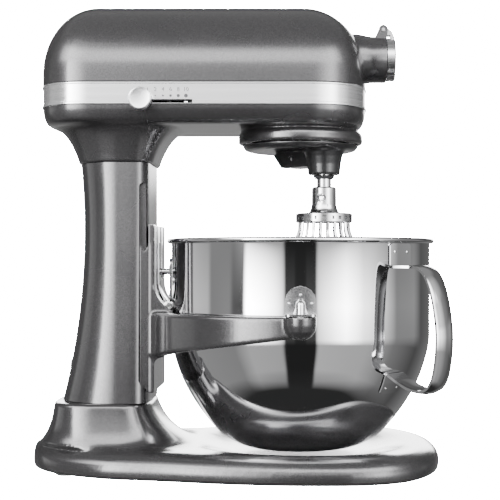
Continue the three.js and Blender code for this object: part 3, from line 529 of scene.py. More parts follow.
def soften_rings(obj, rounds, low, high):
    """Relaxes the points between two heights, so that the surfaces flow into each other."""
    group = obj.vertex_groups.new(name="flow")
    for vertex in obj.data.vertices:
        z = vertex.co.z / MM
        weight = min(1.0, max(0.0, (z - low) / 4), max(0.0, (high - z) / 4)) if low < z < high else 0.0
        group.add([vertex.index], weight, "REPLACE")
    modifier = obj.modifiers.new("flow", "SMOOTH")
    modifier.factor = 0.5
    modifier.iterations = rounds
    modifier.vertex_group = "flow"
    apply_modifiers(obj)
    obj.vertex_groups.clear()


def make_base():
    shell = base_surface()
    soften_rings(shell, 10, 11, 56)
    cast_surface(shell, 1.6, 9)
    cavity = loft("cavity", [[(x, y, z) for x, y in (base_outline(64) * 0.9 + [-6, 0])] for z in (-1, 6)])
    cut(shell, cavity)
    piece(shell, PAINT, "root", ["base_casting"], angle=50)


# ---------- column ----------
def make_column():
    levels = np.linspace(COLUMN_BOTTOM, COLUMN_TOP, 40)
    inner_levels = np.linspace(COLUMN_BOTTOM - 1, COLUMN_TOP + 1, 12)
    shell = loft("column_shell", [column_ring(z) for z in levels])
    inside = loft("inside", [column_ring(z, 6, 64) for z in inner_levels])
    grooves = []
    for side in (-1, 1):
        low, high = sorted((side * 40.2, side * 60))
        outline = [(-142.6, 82), (-139, 75), (-100, 75), (-100, 257), (-139, 257),
                   *arc(-139, 253.4, 3.6, 90, 180, 5)]
        grooves.append(prism("groove", outline, low, high))
    lug_slot = box("lug_slot", -150, -130, -9, 6, 102, 176)
    shaft_x, _, shaft_z = centre("lift_shaft")
    lever_hole = rod("lever_hole", 8, 30, 70, 32, (shaft_x, 0, shaft_z), "y")
    cord_hole = rod("cord_hole", 7, -230, -190, 32, (0, 0, centre("cord_gland")[2]), "x")
    cut(shell, inside)
    cut(shell, *grooves)
    for tool in (lug_slot, lever_hole, cord_hole):
        cut(shell, tool)
    piece(shell, PAINT, "root", ["column_casting"], angle=38)


# ---------- motor head ----------
def make_head_cover():
    bottom = BAND_TOP + 0.35
    rings = [head_ring(bottom, 0.5), head_ring(bottom + 0.6), head_ring(SHOULDER - 4)]
    inner = [head_ring(bottom - 2, 5, 1, 64), head_ring(SHOULDER, 5, 1, 64)]
    for angle in np.radians(np.linspace(0, 90, 34)):
        swell = math.cos(angle) if angle < 1.57 else 0.0
        rings.append(head_ring(SHOULDER + (HEAD_TOP - SHOULDER) * math.sin(angle), 0, swell))
    for angle in np.radians(np.linspace(10, 86, 9)):
        z = SHOULDER + (HEAD_TOP - SHOULDER - 5) * math.sin(angle)
        inner.append(head_ring(z, 5, math.cos(angle), 64))
    shell = loft("head_shell", rings)
    end = corners("head_cover")[1][0]
    profile = [(0, 30), (23.6, 40), (23.6, 51), (23.1, 55), (22.3, 58.5), (21.5, 62), (21.1, 66),
               (21.1, end - 1), (20.6, end), (0, end)]
    barrel = turned("barrel", profile, 96, (0, 0, HUB_Z), "x")
    bore = rod("bore", 14, 20, end + 2, 64, (0, 0, HUB_Z), "x")
    pin = centre("hub_cap_hinge_pin")
    ears = []
    for side in (-1, 1):
        low, high = sorted((side * 6.6, side * 9.8))
        outline = [(68, 385), (78.1, 385), *arc(pin[0], pin[2], 4.2, 0, 180, 12), (68, 392)]
        ears.append(prism("ear", outline, low, high))
    join(shell, barrel)
    join(shell, *ears)
    pin_hole = rod("pin_hole", 1.85, -12, 12, 24, (pin[0], 0, pin[2]), "y")
    knob = centre("attachment_knob")
    knob_hole = rod("knob_hole", 3.6, 5, 32, 24, (knob[0], 0, knob[2]), "y")
    for tool in (loft("inside", inner), bore, pin_hole, knob_hole):
        cut(shell, tool)
    piece(shell, PAINT, "root", ["head_cover"], angle=30)


def make_gearcase():
    top = BAND_BOTTOM - 0.3
    profile = [(16, 0), (10, 0.3), (6, 1.3), (3.6, 3), (2.2, 5.6), (1.3, 8.6), (0.6, 12),
               (0.2, top - UNDERSIDE + 3)]
    tray = loft("gearcase_shell", [head_ring(UNDERSIDE + rise, inset) for inset, rise in profile])
    levels = [COLUMN_TOP + 0.3, *np.linspace(COLUMN_TOP + 1.0, UNDERSIDE, 20), UNDERSIDE + 3]
    neck = loft("neck", [neck_ring(z) for z in levels])
    boss = turned("boss", [(0, BOSS_BOTTOM), (55.6, BOSS_BOTTOM), (57, BOSS_BOTTOM + 1.4), (57, 301),
                           (55.8, 304), (52.6, 306.8), (48, 308.6), (43, 309.4), (0, 309.4)], 160)
    join(tray, neck)
    join(tray, boss)
    cast_surface(tray, 1.1, 7)
    collar = loft("neck_end", [neck_ring(z, -2, 64) for z in (COLUMN_TOP - 6, COLUMN_TOP + 0.3)])
    inside = loft("inside", [head_ring(UNDERSIDE + 4, 13, 1, 64), head_ring(UNDERSIDE + 8, 6, 1, 64),
                             head_ring(335, 6, 1, 64)])
    levels = np.linspace(COLUMN_TOP - 2, COLUMN_TOP + 40, 10)
    neck_inside = loft("neck_inside", [neck_ring(z, 7, 64) for z in levels])
    cavity = turned("cavity", [(0, 280), (53.6, 280), (53.6, 305), (11, 305), (11, 320), (0, 320)], 128)
    flat_top = loft("flat_top", [head_ring(top, -4, 1, 64), head_ring(top + 8, -4, 1, 64)])
    for tool in (collar, inside, neck_inside, cavity, flat_top, speed_slot("speed_slot")):
        cut(tray, tool)
    piece(tray, PAINT, "root", ["gearcase_housing"], angle=38)


SPEED_TRAVEL = 39.0
SLOT_END = 5.0
SLOT_HALF_HEIGHT = 1.7


def speed_slot(name):
    """The tool that cuts the speed lever's slot."""
    start = centre("speed_knob")[0] - SLOT_END
    end = start + SPEED_TRAVEL + 2 * SLOT_END
    middle = centre("speed_lever")[2]
    return box(name, start, end, -90, -40, middle - SLOT_HALF_HEIGHT, middle + SLOT_HALF_HEIGHT)


def make_band():
    """The band is a shallow channel: its two lips stand a little proud of its flat."""
    lip, flat = -0.5, 0.35
    heights = [(2.6, BAND_BOTTOM), (lip + 0.3, BAND_BOTTOM), (lip, BAND_BOTTOM + 0.4),
               (lip, BAND_BOTTOM + 2.0), (flat, BAND_BOTTOM + 2.5), (flat, BAND_TOP - 1.7),
               (lip, BAND_TOP - 1.2), (lip, BAND_TOP - 0.4), (lip + 0.3, BAND_TOP), (2.6, BAND_TOP)]
    band = loft("band", [head_ring(z, inset, 1, 192) for inset, z in heights], closed=True)
    cut(band, speed_slot("band_slot"))
    for rise in (-4.4, 0.0, 4.4):
        z = centre("trim_band")[2] + rise
        cut(band, box("vent", -240, -225, -26, 26, z - 0.9, z + 0.9))
    piece(band, BAND_METAL, "root", ["trim_band"], angle=25)


def make_slot_seal():
    """Two black strips behind the band's slot, which the speed lever slides between."""
    low, high = corners("speed_lever")
    start = centre("speed_knob")[0] - SLOT_END - 1.5
    end = start + SPEED_TRAVEL + 2 * SLOT_END + 3
    for word, z0, z1 in (("lower", low[2] - 3.0, low[2] - 0.1), ("upper", high[2] + 0.1, high[2] + 3.0)):
        strip = box(f"slot_seal_{word}", start, end, 6.2 - HEAD_HALF, 7.4 - HEAD_HALF, z0, z1)
        piece(strip, BLACK, "root")


NUMBER_Z = 335.9
DOT_Z = 330.5
NUMBER_SPACING = 6.63
NUMBER_HEIGHT = 5.0


def make_dial():
    """Speed numbers and growing dots above the slot."""
    knob = centre("speed_knob")
    near = -(HEAD_HALF - 0.35)
    start = knob[0] + 5.4
    for step, number in enumerate(["1", "2", "4", "6", "8", "10"]):
        x = start + NUMBER_SPACING * step
        text = bpy.data.curves.new(f"speed_number_{number}", "FONT")
        text.body = number
        text.size = NUMBER_HEIGHT * MM
        text.extrude = 0.03 * MM
        text.align_x = "CENTER"
        text.align_y = "CENTER"
        obj = bpy.data.objects.new(f"speed_number_{number}", text)
        collection.objects.link(obj)
        at = Vector((x + AXIS_X, near - 0.04, NUMBER_Z)) * MM
        obj.matrix_world = Matrix.Translation(at) @ Matrix.Rotation(math.pi / 2, 4, "X")
        text.materials.append(PRINT)
        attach(obj, "root")
        if step:
            radius = 0.35 + 0.26 * step
            dot = rod(f"speed_dot_{number}", radius, near - 0.08, near + 0.1, 24, (x, 0, DOT_Z), "y")
            piece(dot, PRINT, "root")


def make_speed_knob():
    low, high = corners("speed_knob")
    x, _, z = centre("speed_knob")
    radius = (high[2] - low[2]) / 2
    front, back = low[1], high[1]
    profile = [(0, front + 0.5), (radius - 2.6, front + 0.35), (radius - 1.4, front),
               (radius - 0.4, front + 0.5), (radius, front + 1.4), (radius, back - 1),
               (radius - 0.5, back), (0, back)]
    knob = turned("speed_control_knob", profile, 96, (x, 0, z), "y")
    piece(knob, KNOB_METAL, "speed_control", ["speed_knob"])


def make_hub_cap():
    low, high = corners("hub_cap")
    pin = centre("hub_cap_hinge_pin")
    back, front = 78.7, high[0]
    radius = HUB_Z - low[2]
    profile = [(0, front - 1.1), (radius - 4.6, front - 0.9), (radius - 3.4, front),
               (radius - 1.2, front), (radius, front - 1.1), (radius, back + 0.4), (radius - 0.4, back),
               (radius - 2.4, back), (radius - 2.4, front - 2.6), (0, front - 2.6)]
    cap = turned("attachment_cap", profile, 96, (0, 0, HUB_Z), "x")
    strap = arc(pin[0], pin[2], 4.3, 270, 60, 16)
    strap += [(83.8, 397.4), (front - 0.2, 391.4), (front - 1.6, 388), (82.0, 394.6)]
    join(cap, prism("strap", strap, -5.9, 5.9))
    cut(cap, rod("cap_pin_hole", 2.1, -12, 12, 24, (pin[0], 0, pin[2]), "y"))
    piece(cap, CAP_METAL, "hub_cap", ["hub_cap"])


def make_attachment_knob():
    low, high = corners("attachment_knob")
    x, _, z = centre("attachment_knob")
    start, end = low[1] + 8.2, high[1]
    flutes, count = 10, 160
    angles = np.linspace(0, 2 * math.pi, count, endpoint=False)
    rings = []
    for inset, y in [(3.0, start), (0.6, start + 1), (0, start + 2), (0, end - 2), (0.7, end - 0.7),
                     (2.2, end), (5.5, end - 0.7)]:
        radius = 9.4 + 0.75 * np.cos(flutes * angles) - inset
        rings.append(np.stack([x + radius * np.cos(angles), np.full(count, y),
                               z + radius * np.sin(angles)], axis=1))
    knob = loft("attachment_screw_knob", rings)
    join(knob, rod("stud", 3.1, low[1], start + 1, 32, (x, 0, z), "y"))
    piece(knob, BLACK, "hub_screw", ["attachment_knob"])


# ---------- planetary head ----------
def make_planetary():
    top = corners("planetary_housing")[1][2] - 2
    pin_z = centre("planetary_retaining_pin")[2]
    disc = turned("planetary_shell", [(0, 287.6), (47, 287.6), (50.5, 288.8), (52.4, 291), (53, top),
                                      (0, top)], 128)
    reach = np.linalg.norm(SHAFT[:2])
    outline = [(-17, 290), (-18.5, 287), (-23, 284.8), (-13, 273), (reach, 273), (reach, 290)]
    tower = turned("tower", [(0, 265.2), (13.6, 265.2), (14.4, 266.2), (15.3, 275), (16.6, 282),
                             (18.2, 286), (21, 288.4), (21, 290), (0, 290)], 64, (reach, 0, 0))
    join(disc, prism("bridge", outline, -12.8, 12.8))
    join(disc, tower)
    cast_surface(disc, 0.6, 3)
    cut(disc, rod("centre_bore", 6.3, 274, 300, 48))
    cut(disc, rod("beater_bore", 8.2, 260, 300, 48, (reach, 0, 0)))
    cut(disc, rod("pin_bore", 2.6, -20, 20, 24, (0, 0, pin_z), "y"))
    piece(place(disc, ARM_ANGLE), DARK_PAINT, "planetary", ["planetary_housing"], angle=45)
    pin = turned("planetary_pin", [(0, -14.2), (1.8, -14.2), (2.3, -13.6), (2.3, 13.6), (1.8, 14.2),
                                   (0, 14.2)], 24, (0, 0, pin_z), "y")
    piece(place(pin, ARM_ANGLE), POLISHED, "planetary", ["planetary_retaining_pin"])


COLLAR_HOLES = 22


def make_whisk():
    x, y = SHAFT[:2]
    low, high = corners("whisk_hub")
    bottom, top = low[2], high[2]
    collar = bottom + 8.5
    profile = [(0, bottom), (24.7, bottom), (25.5, bottom + 0.8), (25.5, collar - 0.8), (24.7, collar),
               (15.5, collar + 0.2), (13.4, collar + 1.4), (12.0, collar + 4), (11.2, collar + 8),
               (11, top - 1.4), (10.2, top - 0.3), (9.4, top), (0, top)]
    hub = turned("whisk_collar", profile, 128, (x, y, 0))
    pin = centre("beater_shaft_pin")[2]
    cut(hub, rod("socket", 6.85, 224.6, 300, 48, (x, y, 0)))
    direction = pin_direction()
    cut(hub, place(rod("slot", 4.1, -16, 16, 40, (0, 0, 0), "x"), direction, (x, y, pin)))
    groove = prism("groove", [(-2.2, pin + 1), (-4.6, pin - 4.4), (-2.6, pin - 6.4), (1.4, pin - 2)],
                   8.4, 16, "x")
    cut(hub, place(groove, direction, (x, y, 0)))
    cut(hub, place(box("key", 8.6, 16, 5.2, 9.6, pin - 7.6, pin - 5.4), direction, (x, y, 0)))
    for i in range(COLLAR_HOLES):
        turn = (i + 0.5) * 2 * math.pi / COLLAR_HOLES
        hole = box("hole", 22.6, 27, -1.6, 1.6, -1.5, 1.5)
        cut(hub, place(hole, turn, (x, y, bottom + 4.2)))
    piece(hub, TURNED, "beater", ["whisk_hub"])
    make_whisk_wires(x, y, bottom)


def pin_direction():
    low, high = corners("beater_shaft_pin")
    return 0.0 if high[0] - low[0] > high[1] - low[1] else math.radians(-103)


WIRES = 11
WIRE_RADIUS = 1.3


def make_whisk_wires(x, y, collar):
    outline = [(22.4, collar + 0.4), (22.6, collar - 4), (23.4, collar - 9), (26.5, collar - 16),
               (36, 190), (47.5, 155), (51, 124), (45.4, 98), (28, 78.5), (11, 70.4)]
    strands = []
    for i in range(WIRES):
        turn = i * math.pi / WIRES
        drop = (i % 3) * 0.4
        far_half = [(-r, 0, z) for r, z in outline[::-1]]
        path = [(r, 0, z) for r, z in outline] + [(0, 0, 68.6 + drop)] + far_half
        curve = spline(path, 120)
        strand = sweep(f"whisk_wire_{i + 1}", curve, circle(WIRE_RADIUS, 10), across=(0, 1, 0))
        place(strand, turn, (x, y, 0))
        strands.append(strand)
    for strand in strands:
        piece(strand, POLISHED, "beater")
    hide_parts("whisk_wires")


def make_shaft():
    x, y = SHAFT[:2]
    low, high = corners("beater_shaft")
    radius = (high[0] - low[0]) / 2
    shaft = turned("beater_shaft_bar", [(0, low[2]), (radius - 0.8, low[2]), (radius, low[2] + 1),
                                        (radius, high[2]), (0, high[2])], 64, (x, y, 0))
    piece(shaft, TURNED, "beater", ["beater_shaft"])
    pin = corners("beater_shaft_pin")
    half = max(pin[1][0] - pin[0][0], pin[1][1] - pin[0][1]) / 2
    z = centre("beater_shaft_pin")[2]
    bar = turned("shaft_cross_pin", [(0, -half), (1.6, -half), (2.6, -half + 0.8), (2.9, -half + 2),
                                     (2.9, half - 2), (2.6, half - 0.8), (1.6, half), (0, half)], 32,
                 (0, 0, 0), "x")
    piece(place(bar, pin_direction(), (x, y, z)), POLISHED, "beater", ["beater_shaft_pin"])
    washer = turned("drip_washer", [(6.9, 261.6), (7.8, 261.4), (9.5, 263.2), (9.7, 264.2),
                                    (9.2, 264.6), (6.9, 264.6)], 64, (x, y, 0))
    piece(washer, BLACK, "planetary", ["shaft_drip_washer"])


# ---------- bowl support ----------
def support_arm(side):
    """One arm: it leaves the plate's side straight forwards and then follows the bowl round to the boss."""
    start = [(-140.5, 39.4), (-134, 39.8), (-127, 43.2)]
    middle = spline(start + [(130 * math.cos(t), 130 * math.sin(t))
                             for t in np.radians(np.linspace(157, 93, 9))], 44)
    tangent = np.gradient(middle, axis=0)
    tangent /= np.linalg.norm(tangent, axis=1)[:, None]
    outwards = np.column_stack([-tangent[:, 1], tangent[:, 0]])
    rings = []
    for i, (point, out) in enumerate(zip(middle, outwards)):
        share = i / (len(middle) - 1)
        low, high, inner, outer, corner = 101.5 + 22.5 * share, 142.2, -5.5, 5.6 - 2.2 * share, 2.8
        section = []
        for ca, cz, begin in [(outer - corner, high - corner, 0), (inner + corner, high - corner, 90),
                              (inner + corner, low + corner, 180), (outer - corner, low + corner, 270)]:
            section += arc(ca, cz, corner, begin, begin + 90, 4)
        rings.append([(point[0] + out[0] * a, side * (point[1] + out[1] * a), z) for a, z in section])
    return loft("arm", rings)


def make_support():
    low, high = corners("bowl_support")
    face, front = COLUMN_FRONT + 0.5, -129.5
    bottom, plate_top, half = low[2] - 5, high[2], 46
    sweep_side = [(face, bottom), (front, bottom), *arc(front + 6, 96, 6, 180, 90, 8), (-106, 109),
                  (-106, 142.2), *arc(front + 26, 168.2, 26, 270, 180, 14), (front, plate_top),
                  (face, plate_top)]
    block = prism("support_casting", sweep_side, -half + 1, half - 1)
    window = box("window", front - 1, -90, -24, 24, 152, plate_top + 1)
    tools = [support_arm(-1), support_arm(1)]
    boss_profile = [(0, 123), (5, 123.5), (9, 126), (12, 130), (13.3, 134.5), (13.5, 142.3), (0, 142.3)]
    for side in (-1, 1):
        tools.append(turned("boss", boss_profile, 64, (0, side * PIN_Y, 0)))
        low_y, high_y = sorted((side * 40.6, side * half))
        cheek = [(-142, bottom), (-138, bottom + 5), (-134, bottom), (face + 1, bottom),
                 (face + 1, 202), (-134, 202), (-138, 196), (-142, 202)]
        tools.append(prism("cheek", cheek, low_y, high_y))
    for tool in tools:
        join(block, tool)
    cut(block, window)
    cut(block, rod("bowl_room", 121.5, 60, 260, 160))
    cast_surface(block, 1.0, 4)
    lug = box("lug", -190.5, face + 1, -7, 3.4, 107, 133)
    cut(lug, box("lug_slot", -188.65, -162, -8, 5, 112.6, 127.4))
    join(block, lug)
    for side in (-1, 1):
        cut(block, rod("pin_hole", 4.35, 128, 150, 32, (0, side * PIN_Y, 0)))
    piece(block, PAINT, "support", ["bowl_support"], angle=45)


def make_latch():
    """A bent spring strip with a notch for the stud; its foot follows the support's fillet."""
    low, high = corners("bowl_spring_latch")
    rear, front, half = low[0], high[0], high[1]
    bend = (rear + 25.6, 168.2)
    outside = arc(*bend, 25.6, 180, 222, 12)
    inside = arc(*bend, 25.6 - (front - rear), 180, 222, 12)
    strip = prism("spring_latch", [(rear, high[2]), *outside, *inside[::-1], (front, high[2])], -half,
                  half)
    notch = [(-4.5, high[2] + 1), (-4.5, 175), *arc(0, 175, 4.5, 180, 360, 14), (4.5, 175),
             (4.5, high[2] + 1)]
    cut(strip, prism("notch", notch, rear - 1, front + 1, "x"))
    bevel(strip, 0.25, 2)
    apply_modifiers(strip)
    piece(strip, POLISHED, "support", ["bowl_spring_latch"])


# ---------- bowl ----------
def bowl_outline(offset):
    """Points down the outside of the bowl, from the middle of its flat bottom to the straight wall."""
    bottom = BOWL_LOW[2]
    turn = math.radians(47)
    low_arc = (38, bottom + 54, 54, 0, 47, 14)
    wide_arc = (38 + (54 - 172) * math.sin(turn), bottom + 54 + (172 - 54) * math.cos(turn), 172, 47,
                66, 10)
    points = [(0, bottom + offset), (20, bottom + offset)]
    for cx, cz, radius, start, end, steps in (low_arc, wide_arc):
        for t in np.radians(np.linspace(start, end, steps + 1)):
            points.append((cx + (radius - offset) * math.sin(t), cz - (radius - offset) * math.cos(t)))
    x, z = points[-1]
    for share in np.linspace(0, 1, 9)[1:]:
        ease = math.sin(share * math.pi / 2)
        points.append((x + (BOWL_RADIUS - offset - x) * ease, z + (bottom + 104 - z) * share))
    return points


def bowl_wall(z):
    """The bowl's outside radius at a height."""
    outline = bowl_outline(0)
    return float(np.interp(z, [p[1] for p in outline[2:]] + [BOWL_HIGH[2]],
                           [p[0] for p in outline[2:]] + [BOWL_RADIUS]))


def make_bowl():
    tube = 2.3
    rim = (BOWL_HIGH[0] - tube, BOWL_HIGH[2] - tube)
    roll = [(rim[0] + tube * math.cos(t), rim[1] + tube * math.sin(t))
            for t in np.radians(np.linspace(-130, 200, 20))]
    outside = bowl_outline(0) + [(BOWL_RADIUS, 150), (BOWL_RADIUS, rim[1] - 3.2)]
    inside = [(BOWL_RADIUS - WALL, rim[1] - 1.0), (BOWL_RADIUS - WALL, 150)] + bowl_outline(WALL)[::-1]
    shell = turned("bowl", outside + roll + inside, 256)
    piece(shell, POLISHED, "bowl", ["bowl_shell"], angle=50)


def curved_plate(name, half_width, low, high, thick, corner, azimuth, arch=False):
    """A plate that lies on the bowl's wall, with rounded corners or an arched top."""
    columns, rows = 24, 20
    verts, faces = [], []
    spans = []
    for j in range(rows + 1):
        z = low + (high - low) * j / rows
        edge = half_width
        if arch and z > high - half_width:
            edge = math.sqrt(max(0.0, half_width ** 2 - (z - high + half_width) ** 2))
        elif not arch:
            inset = max(0.0, corner - (z - low), corner - (high - z))
            edge = half_width - corner + math.sqrt(max(0.0, corner ** 2 - inset ** 2))
        spans.append((z, max(edge, 0.2)))
    for depth in (0.35, thick):
        for z, edge in spans:
            for i in range(columns + 1):
                side = edge * (2 * i / columns - 1)
                radius = bowl_wall(z) + depth
                angle = azimuth + side / radius
                verts.append((radius * math.cos(angle), radius * math.sin(angle), z))
    width = columns + 1
    layer = width * (rows + 1)
    for j in range(rows):
        for i in range(columns):
            a = j * width + i
            quad = (a, a + 1, a + 1 + width, a + width)
            faces.append(quad[::-1])
            faces.append(tuple(v + layer for v in quad))
    border = list(range(width)) + [j * width + columns for j in range(1, rows + 1)]
    border += [rows * width + i for i in range(columns - 1, -1, -1)]
    border += [j * width for j in range(rows - 1, 0, -1)]
    for a, b in zip(border, border[1:] + border[:1]):
        faces.append((a, b, b + layer, a + layer))
    return mesh_object(name, verts, faces)


PLATE_THICKNESS = 1.6


def rivet(name, radius, azimuth, z, height=0.9):
    """A low domed rivet head standing on the bowl."""
    profile = [(0, 0), (radius, 0), (radius, 0.25), (radius * 0.75, height * 0.8),
               (radius * 0.4, height), (0, height)]
    head = turned(name, profile, 24, (0, 0, 0), "x")
    out = bowl_wall(z) + PLATE_THICKNESS
    return place(head, azimuth, (out * math.cos(azimuth), out * math.sin(azimuth), z))


def make_pin_bracket(side):
    word = {-1: "left", 1: "right"}[side]
    azimuth = side * math.pi / 2
    plate = curved_plate(f"bracket_{word}", 12.9, 142.9, 167.0, 1.8, 2, azimuth, arch=True)
    outline = [(-12.8, side * 118.6), (12.8, side * 118.6), (12.8, side * 137),
               *[(x, side * y) for x, y in arc(8.8, 137, 4, 0, 90, 6)],
               *[(x, side * y) for x, y in arc(-8.8, 137, 4, 90, 180, 6)], (-12.8, side * 137)]
    flange = prism("flange", outline, 142.8, 144.6, "z")
    cut(flange, rod("hole", 4.6, 130, 160, 32, (0, side * PIN_Y, 0)))
    hood_rings = []
    for share in np.linspace(0, 1, 12):
        radius = 1.7 + 4.7 * (1 - share) ** 1.25
        y = 124.6 * (1 - share) + 119.4 * share
        hood_rings.append([(a, side * (y + b), 144 + 12.6 * share) for a, b in circle(radius, 24)])
    join(plate, flange)
    join(plate, cut(loft("hood", hood_rings), rod("shank_room", 4.6, 140, 170, 32,
                                                  (0, side * PIN_Y, 0)), rod("wall_room", 118.35, 100,
                                                                             200, 128)))
    piece(plate, BRACKET_METAL, "bowl", [f"pin_bracket_{word}"], angle=40)
    for i, (x, z) in enumerate([(0, 159.9), (-9.3, 152.8), (9.3, 152.8)]):
        piece(rivet(f"bracket_rivet_{word}_{i + 1}", 1.2, azimuth - side * x / 118, z), POLISHED,
              "bowl")


def make_rear_bracket():
    plate = curved_plate("rear_stud_plate", 15, 150, 190, 2.0, 5, math.pi)
    low = corners("rear_bracket")[0][0]
    stud = turned("stud", [(0, low), (2.4, low), (3, low + 0.6), (3, -119), (0, -119)], 40, (0, 0, 178),
                  "x")
    join(plate, stud)
    piece(plate, BRACKET_METAL, "bowl", ["rear_bracket"], angle=40)
    for i, (side, z) in enumerate([(-10, 182), (10, 182), (-10, 157), (10, 157)]):
        piece(rivet(f"rear_rivet_{i + 1}", 1.7, math.pi + side / 118, z), POLISHED, "bowl")


HANDLE_AZIMUTH = math.radians(-44)


def make_handle():
    half = 11.0
    top, bottom, reach = 182.6, 79.0, 164.5
    path = [(118.9, 0, top), (132, 0, top), (144, 0, top - 1), (153, 0, top - 8), (160, 0, 158),
            (reach, 0, 134), (reach + 0.2, 0, 114), (161.5, 0, 94), (156, 0, 83), (147, 0, bottom),
            (135, 0, bottom + 1.5), (125, 0, bottom + 5.4), (bowl_wall(91) + 0.6, 0, 91)]

    def section(share):
        crown = 2.6 * math.sin(math.pi * min(1, max(0, (share - 0.06) / 0.88))) ** 0.5
        across = np.linspace(-1, 1, 17)
        lip = 0.5 * np.exp(-((np.abs(across) - 0.93) / 0.05) ** 2)
        outer = [(half * a, crown * (1 - a * a) + 1.1 + bead) for a, bead in zip(across, lip)]
        inner = [(half * a, crown * (1 - a * a) - 0.9) for a in across[::-1]]
        return outer + inner

    strip = sweep("handle", spline(path, 110), section, across=(0, 1, 0))
    place(strip, HANDLE_AZIMUTH)
    upper = curved_plate("upper_plate", 13.4, top - 1.2, 202.6, 1.6, 2.4, HANDLE_AZIMUTH)
    lower = curved_plate("lower_plate", 12.0, 74, 92, 1.6, 2.4, HANDLE_AZIMUTH)
    cut(strip, turned("wall_room", [(r + 0.35, z) if r else (0, z) for r, z in bowl_outline(0)]
                      + [(BOWL_RADIUS + 0.35, 230), (0, 230)], 128))
    join(strip, upper)
    join(strip, lower)
    piece(strip, POLISHED, "bowl", ["bowl_handle"], angle=42)
    for i, (side, z) in enumerate([(-8, 195.5), (8, 195.5), (-7, 79), (7, 79)]):
        azimuth = HANDLE_AZIMUTH + side / bowl_wall(z)
        piece(rivet(f"handle_rivet_{i + 1}", 1.3, azimuth, z, 0.6), POLISHED, "bowl")


# ---------- small turned pieces that the CAD leaves faceted ----------
def make_locating_pins():
    for word, side in (("left", -1), ("right", 1)):
        low, high = corners(f"locating_pin_{word}")
        top = high[2]
        profile = [(0, low[2]), (4, low[2]), (4, top - 4), (3.4, top - 2), (1.8, top - 0.3), (0, top)]
        pin = turned(f"locating_stud_{word}", profile, 40, (0, side * PIN_Y, 0))
        piece(pin, TURNED, "support", [f"locating_pin_{word}"])


def make_gland():
    """The cord's inlet: a ring that sits nearly flush in the back of the column."""
    z = centre("cord_gland")[2]
    back = column_ring(z)[:, 0].min()
    profile = [(3.4, back - 0.3), (5.6, back - 0.3), (6.4, back + 0.4), (6.4, back + 7), (3.4, back + 7)]
    piece(turned("cord_inlet", profile, 40, (0, 0, z), "x"), BLACK, "root",
          ["cord_gland"])


def make_feet():
    for name in ("front_left", "front_right", "rear_left", "rear_right"):
        node = f"foot_{name}"
        x, y, _ = centre(node)
        top = corners(node)[1][2]
        foot = turned(f"rubber_{node}", [(0, 0), (8.8, 0), (10, 0.7), (10, top), (0, top)], 48, (x, y, 0))
        piece(foot, RUBBER, "root", [node])


GRIP_RADIUS = 8.6
GRIP_HALF_LENGTH = 14.2


def make_lever():
    hinge = centre("lift_shaft")
    x, y, z = centre("lift_lever_knob")
    y0, y1 = corners("lift_lever")[0][1], corners("lift_lever")[1][1]
    direction = np.array([x - hinge[0], z - hinge[2]])
    length = np.linalg.norm(direction)
    ux, uz = direction / length
    side = np.array([-uz, ux])

    def ring_at(distance, half, low, high):
        base = np.array([hinge[0], hinge[2]]) + np.array([ux, uz]) * distance
        edges = [(half, low), (half, high), (-half, high), (-half, low)]
        return [(base[0] + side[0] * a, b, base[1] + side[1] * a) for a, b in edges]

    taper = [(2, 7.5), (12, 6.6), (30, 5.2), (length - 6, 4.8)]
    arm = loft("lever_arm", [ring_at(distance, half, y0 + 0.4, y1 - 0.6) for distance, half in taper])
    eye = turned("eye", [(0, y0), (9.4, y0), (10, y0 + 0.8), (10, y1 - 1), (9.2, y1), (0, y1)], 64,
                 (hinge[0], 0, hinge[2]), "y")
    join(arm, eye)
    cut(arm, rod("eye_bore", 5.3, y0 - 5, y1 + 5, 48, (hinge[0], 0, hinge[2]), "y"))
    bevel(arm, 0.8)
    apply_modifiers(arm)
    piece(arm, POLISHED, "lever", ["lift_lever"])
    rings = []
    for t in np.linspace(-1, 1, 25):
        radius = GRIP_RADIUS * max(0.02, 1 - abs(t) ** 2.6) ** 0.5
        middle = np.array([x, z]) + np.array([ux, uz]) * (t * GRIP_HALF_LENGTH)
        rings.append([(middle[0] + side[0] * radius * math.cos(a), y + 0.82 * radius * math.sin(a),
                       middle[1] + side[1] * radius * math.cos(a))
                      for a in np.linspace(0, 2 * math.pi, 48, endpoint=False)])
    grip = loft("lever_grip", rings)
    clear = loft("clear", [ring_at(d, 5.6, y0, y1) for d in (0, length - 5.4)])
    cut(grip, clear)
    piece(grip, BLACK, "lever", ["lift_lever_knob"])


# ---------- studio ----------
BACKDROP = 60.0  # how bright the camera sees the floor and what lies behind it


def make_floor():
    """A white floor that glows by itself, and that only the camera sees."""
    size = 6.0  # half its side, in metres
    mesh = bpy.data.meshes.new("floor")
    mesh.from_pydata([(-size, -size, 0), (size, -size, 0), (size, size, 0), (-size, size, 0)], [],
                     [(0, 1, 2, 3)])
    floor = bpy.data.objects.new("floor", mesh)
    collection.objects.link(floor)
    pale = bpy.data.materials.new("pale_floor")
    pale.use_nodes = True
    shader = pale.node_tree.nodes["Principled BSDF"]
    shader.inputs["Base Color"].default_value = (0.93, 0.93, 0.93, 1)
    shader.inputs["Roughness"].default_value = 0.7
    shader.inputs["Specular IOR Level"].default_value = 0.0
    shader.inputs["Emission Color"].default_value = (1, 1, 1, 1)
    shader.inputs["Emission Strength"].default_value = BACKDROP
    floor.data.materials.append(pale)
    floor.visible_glossy = False
    floor.visible_diffuse = False


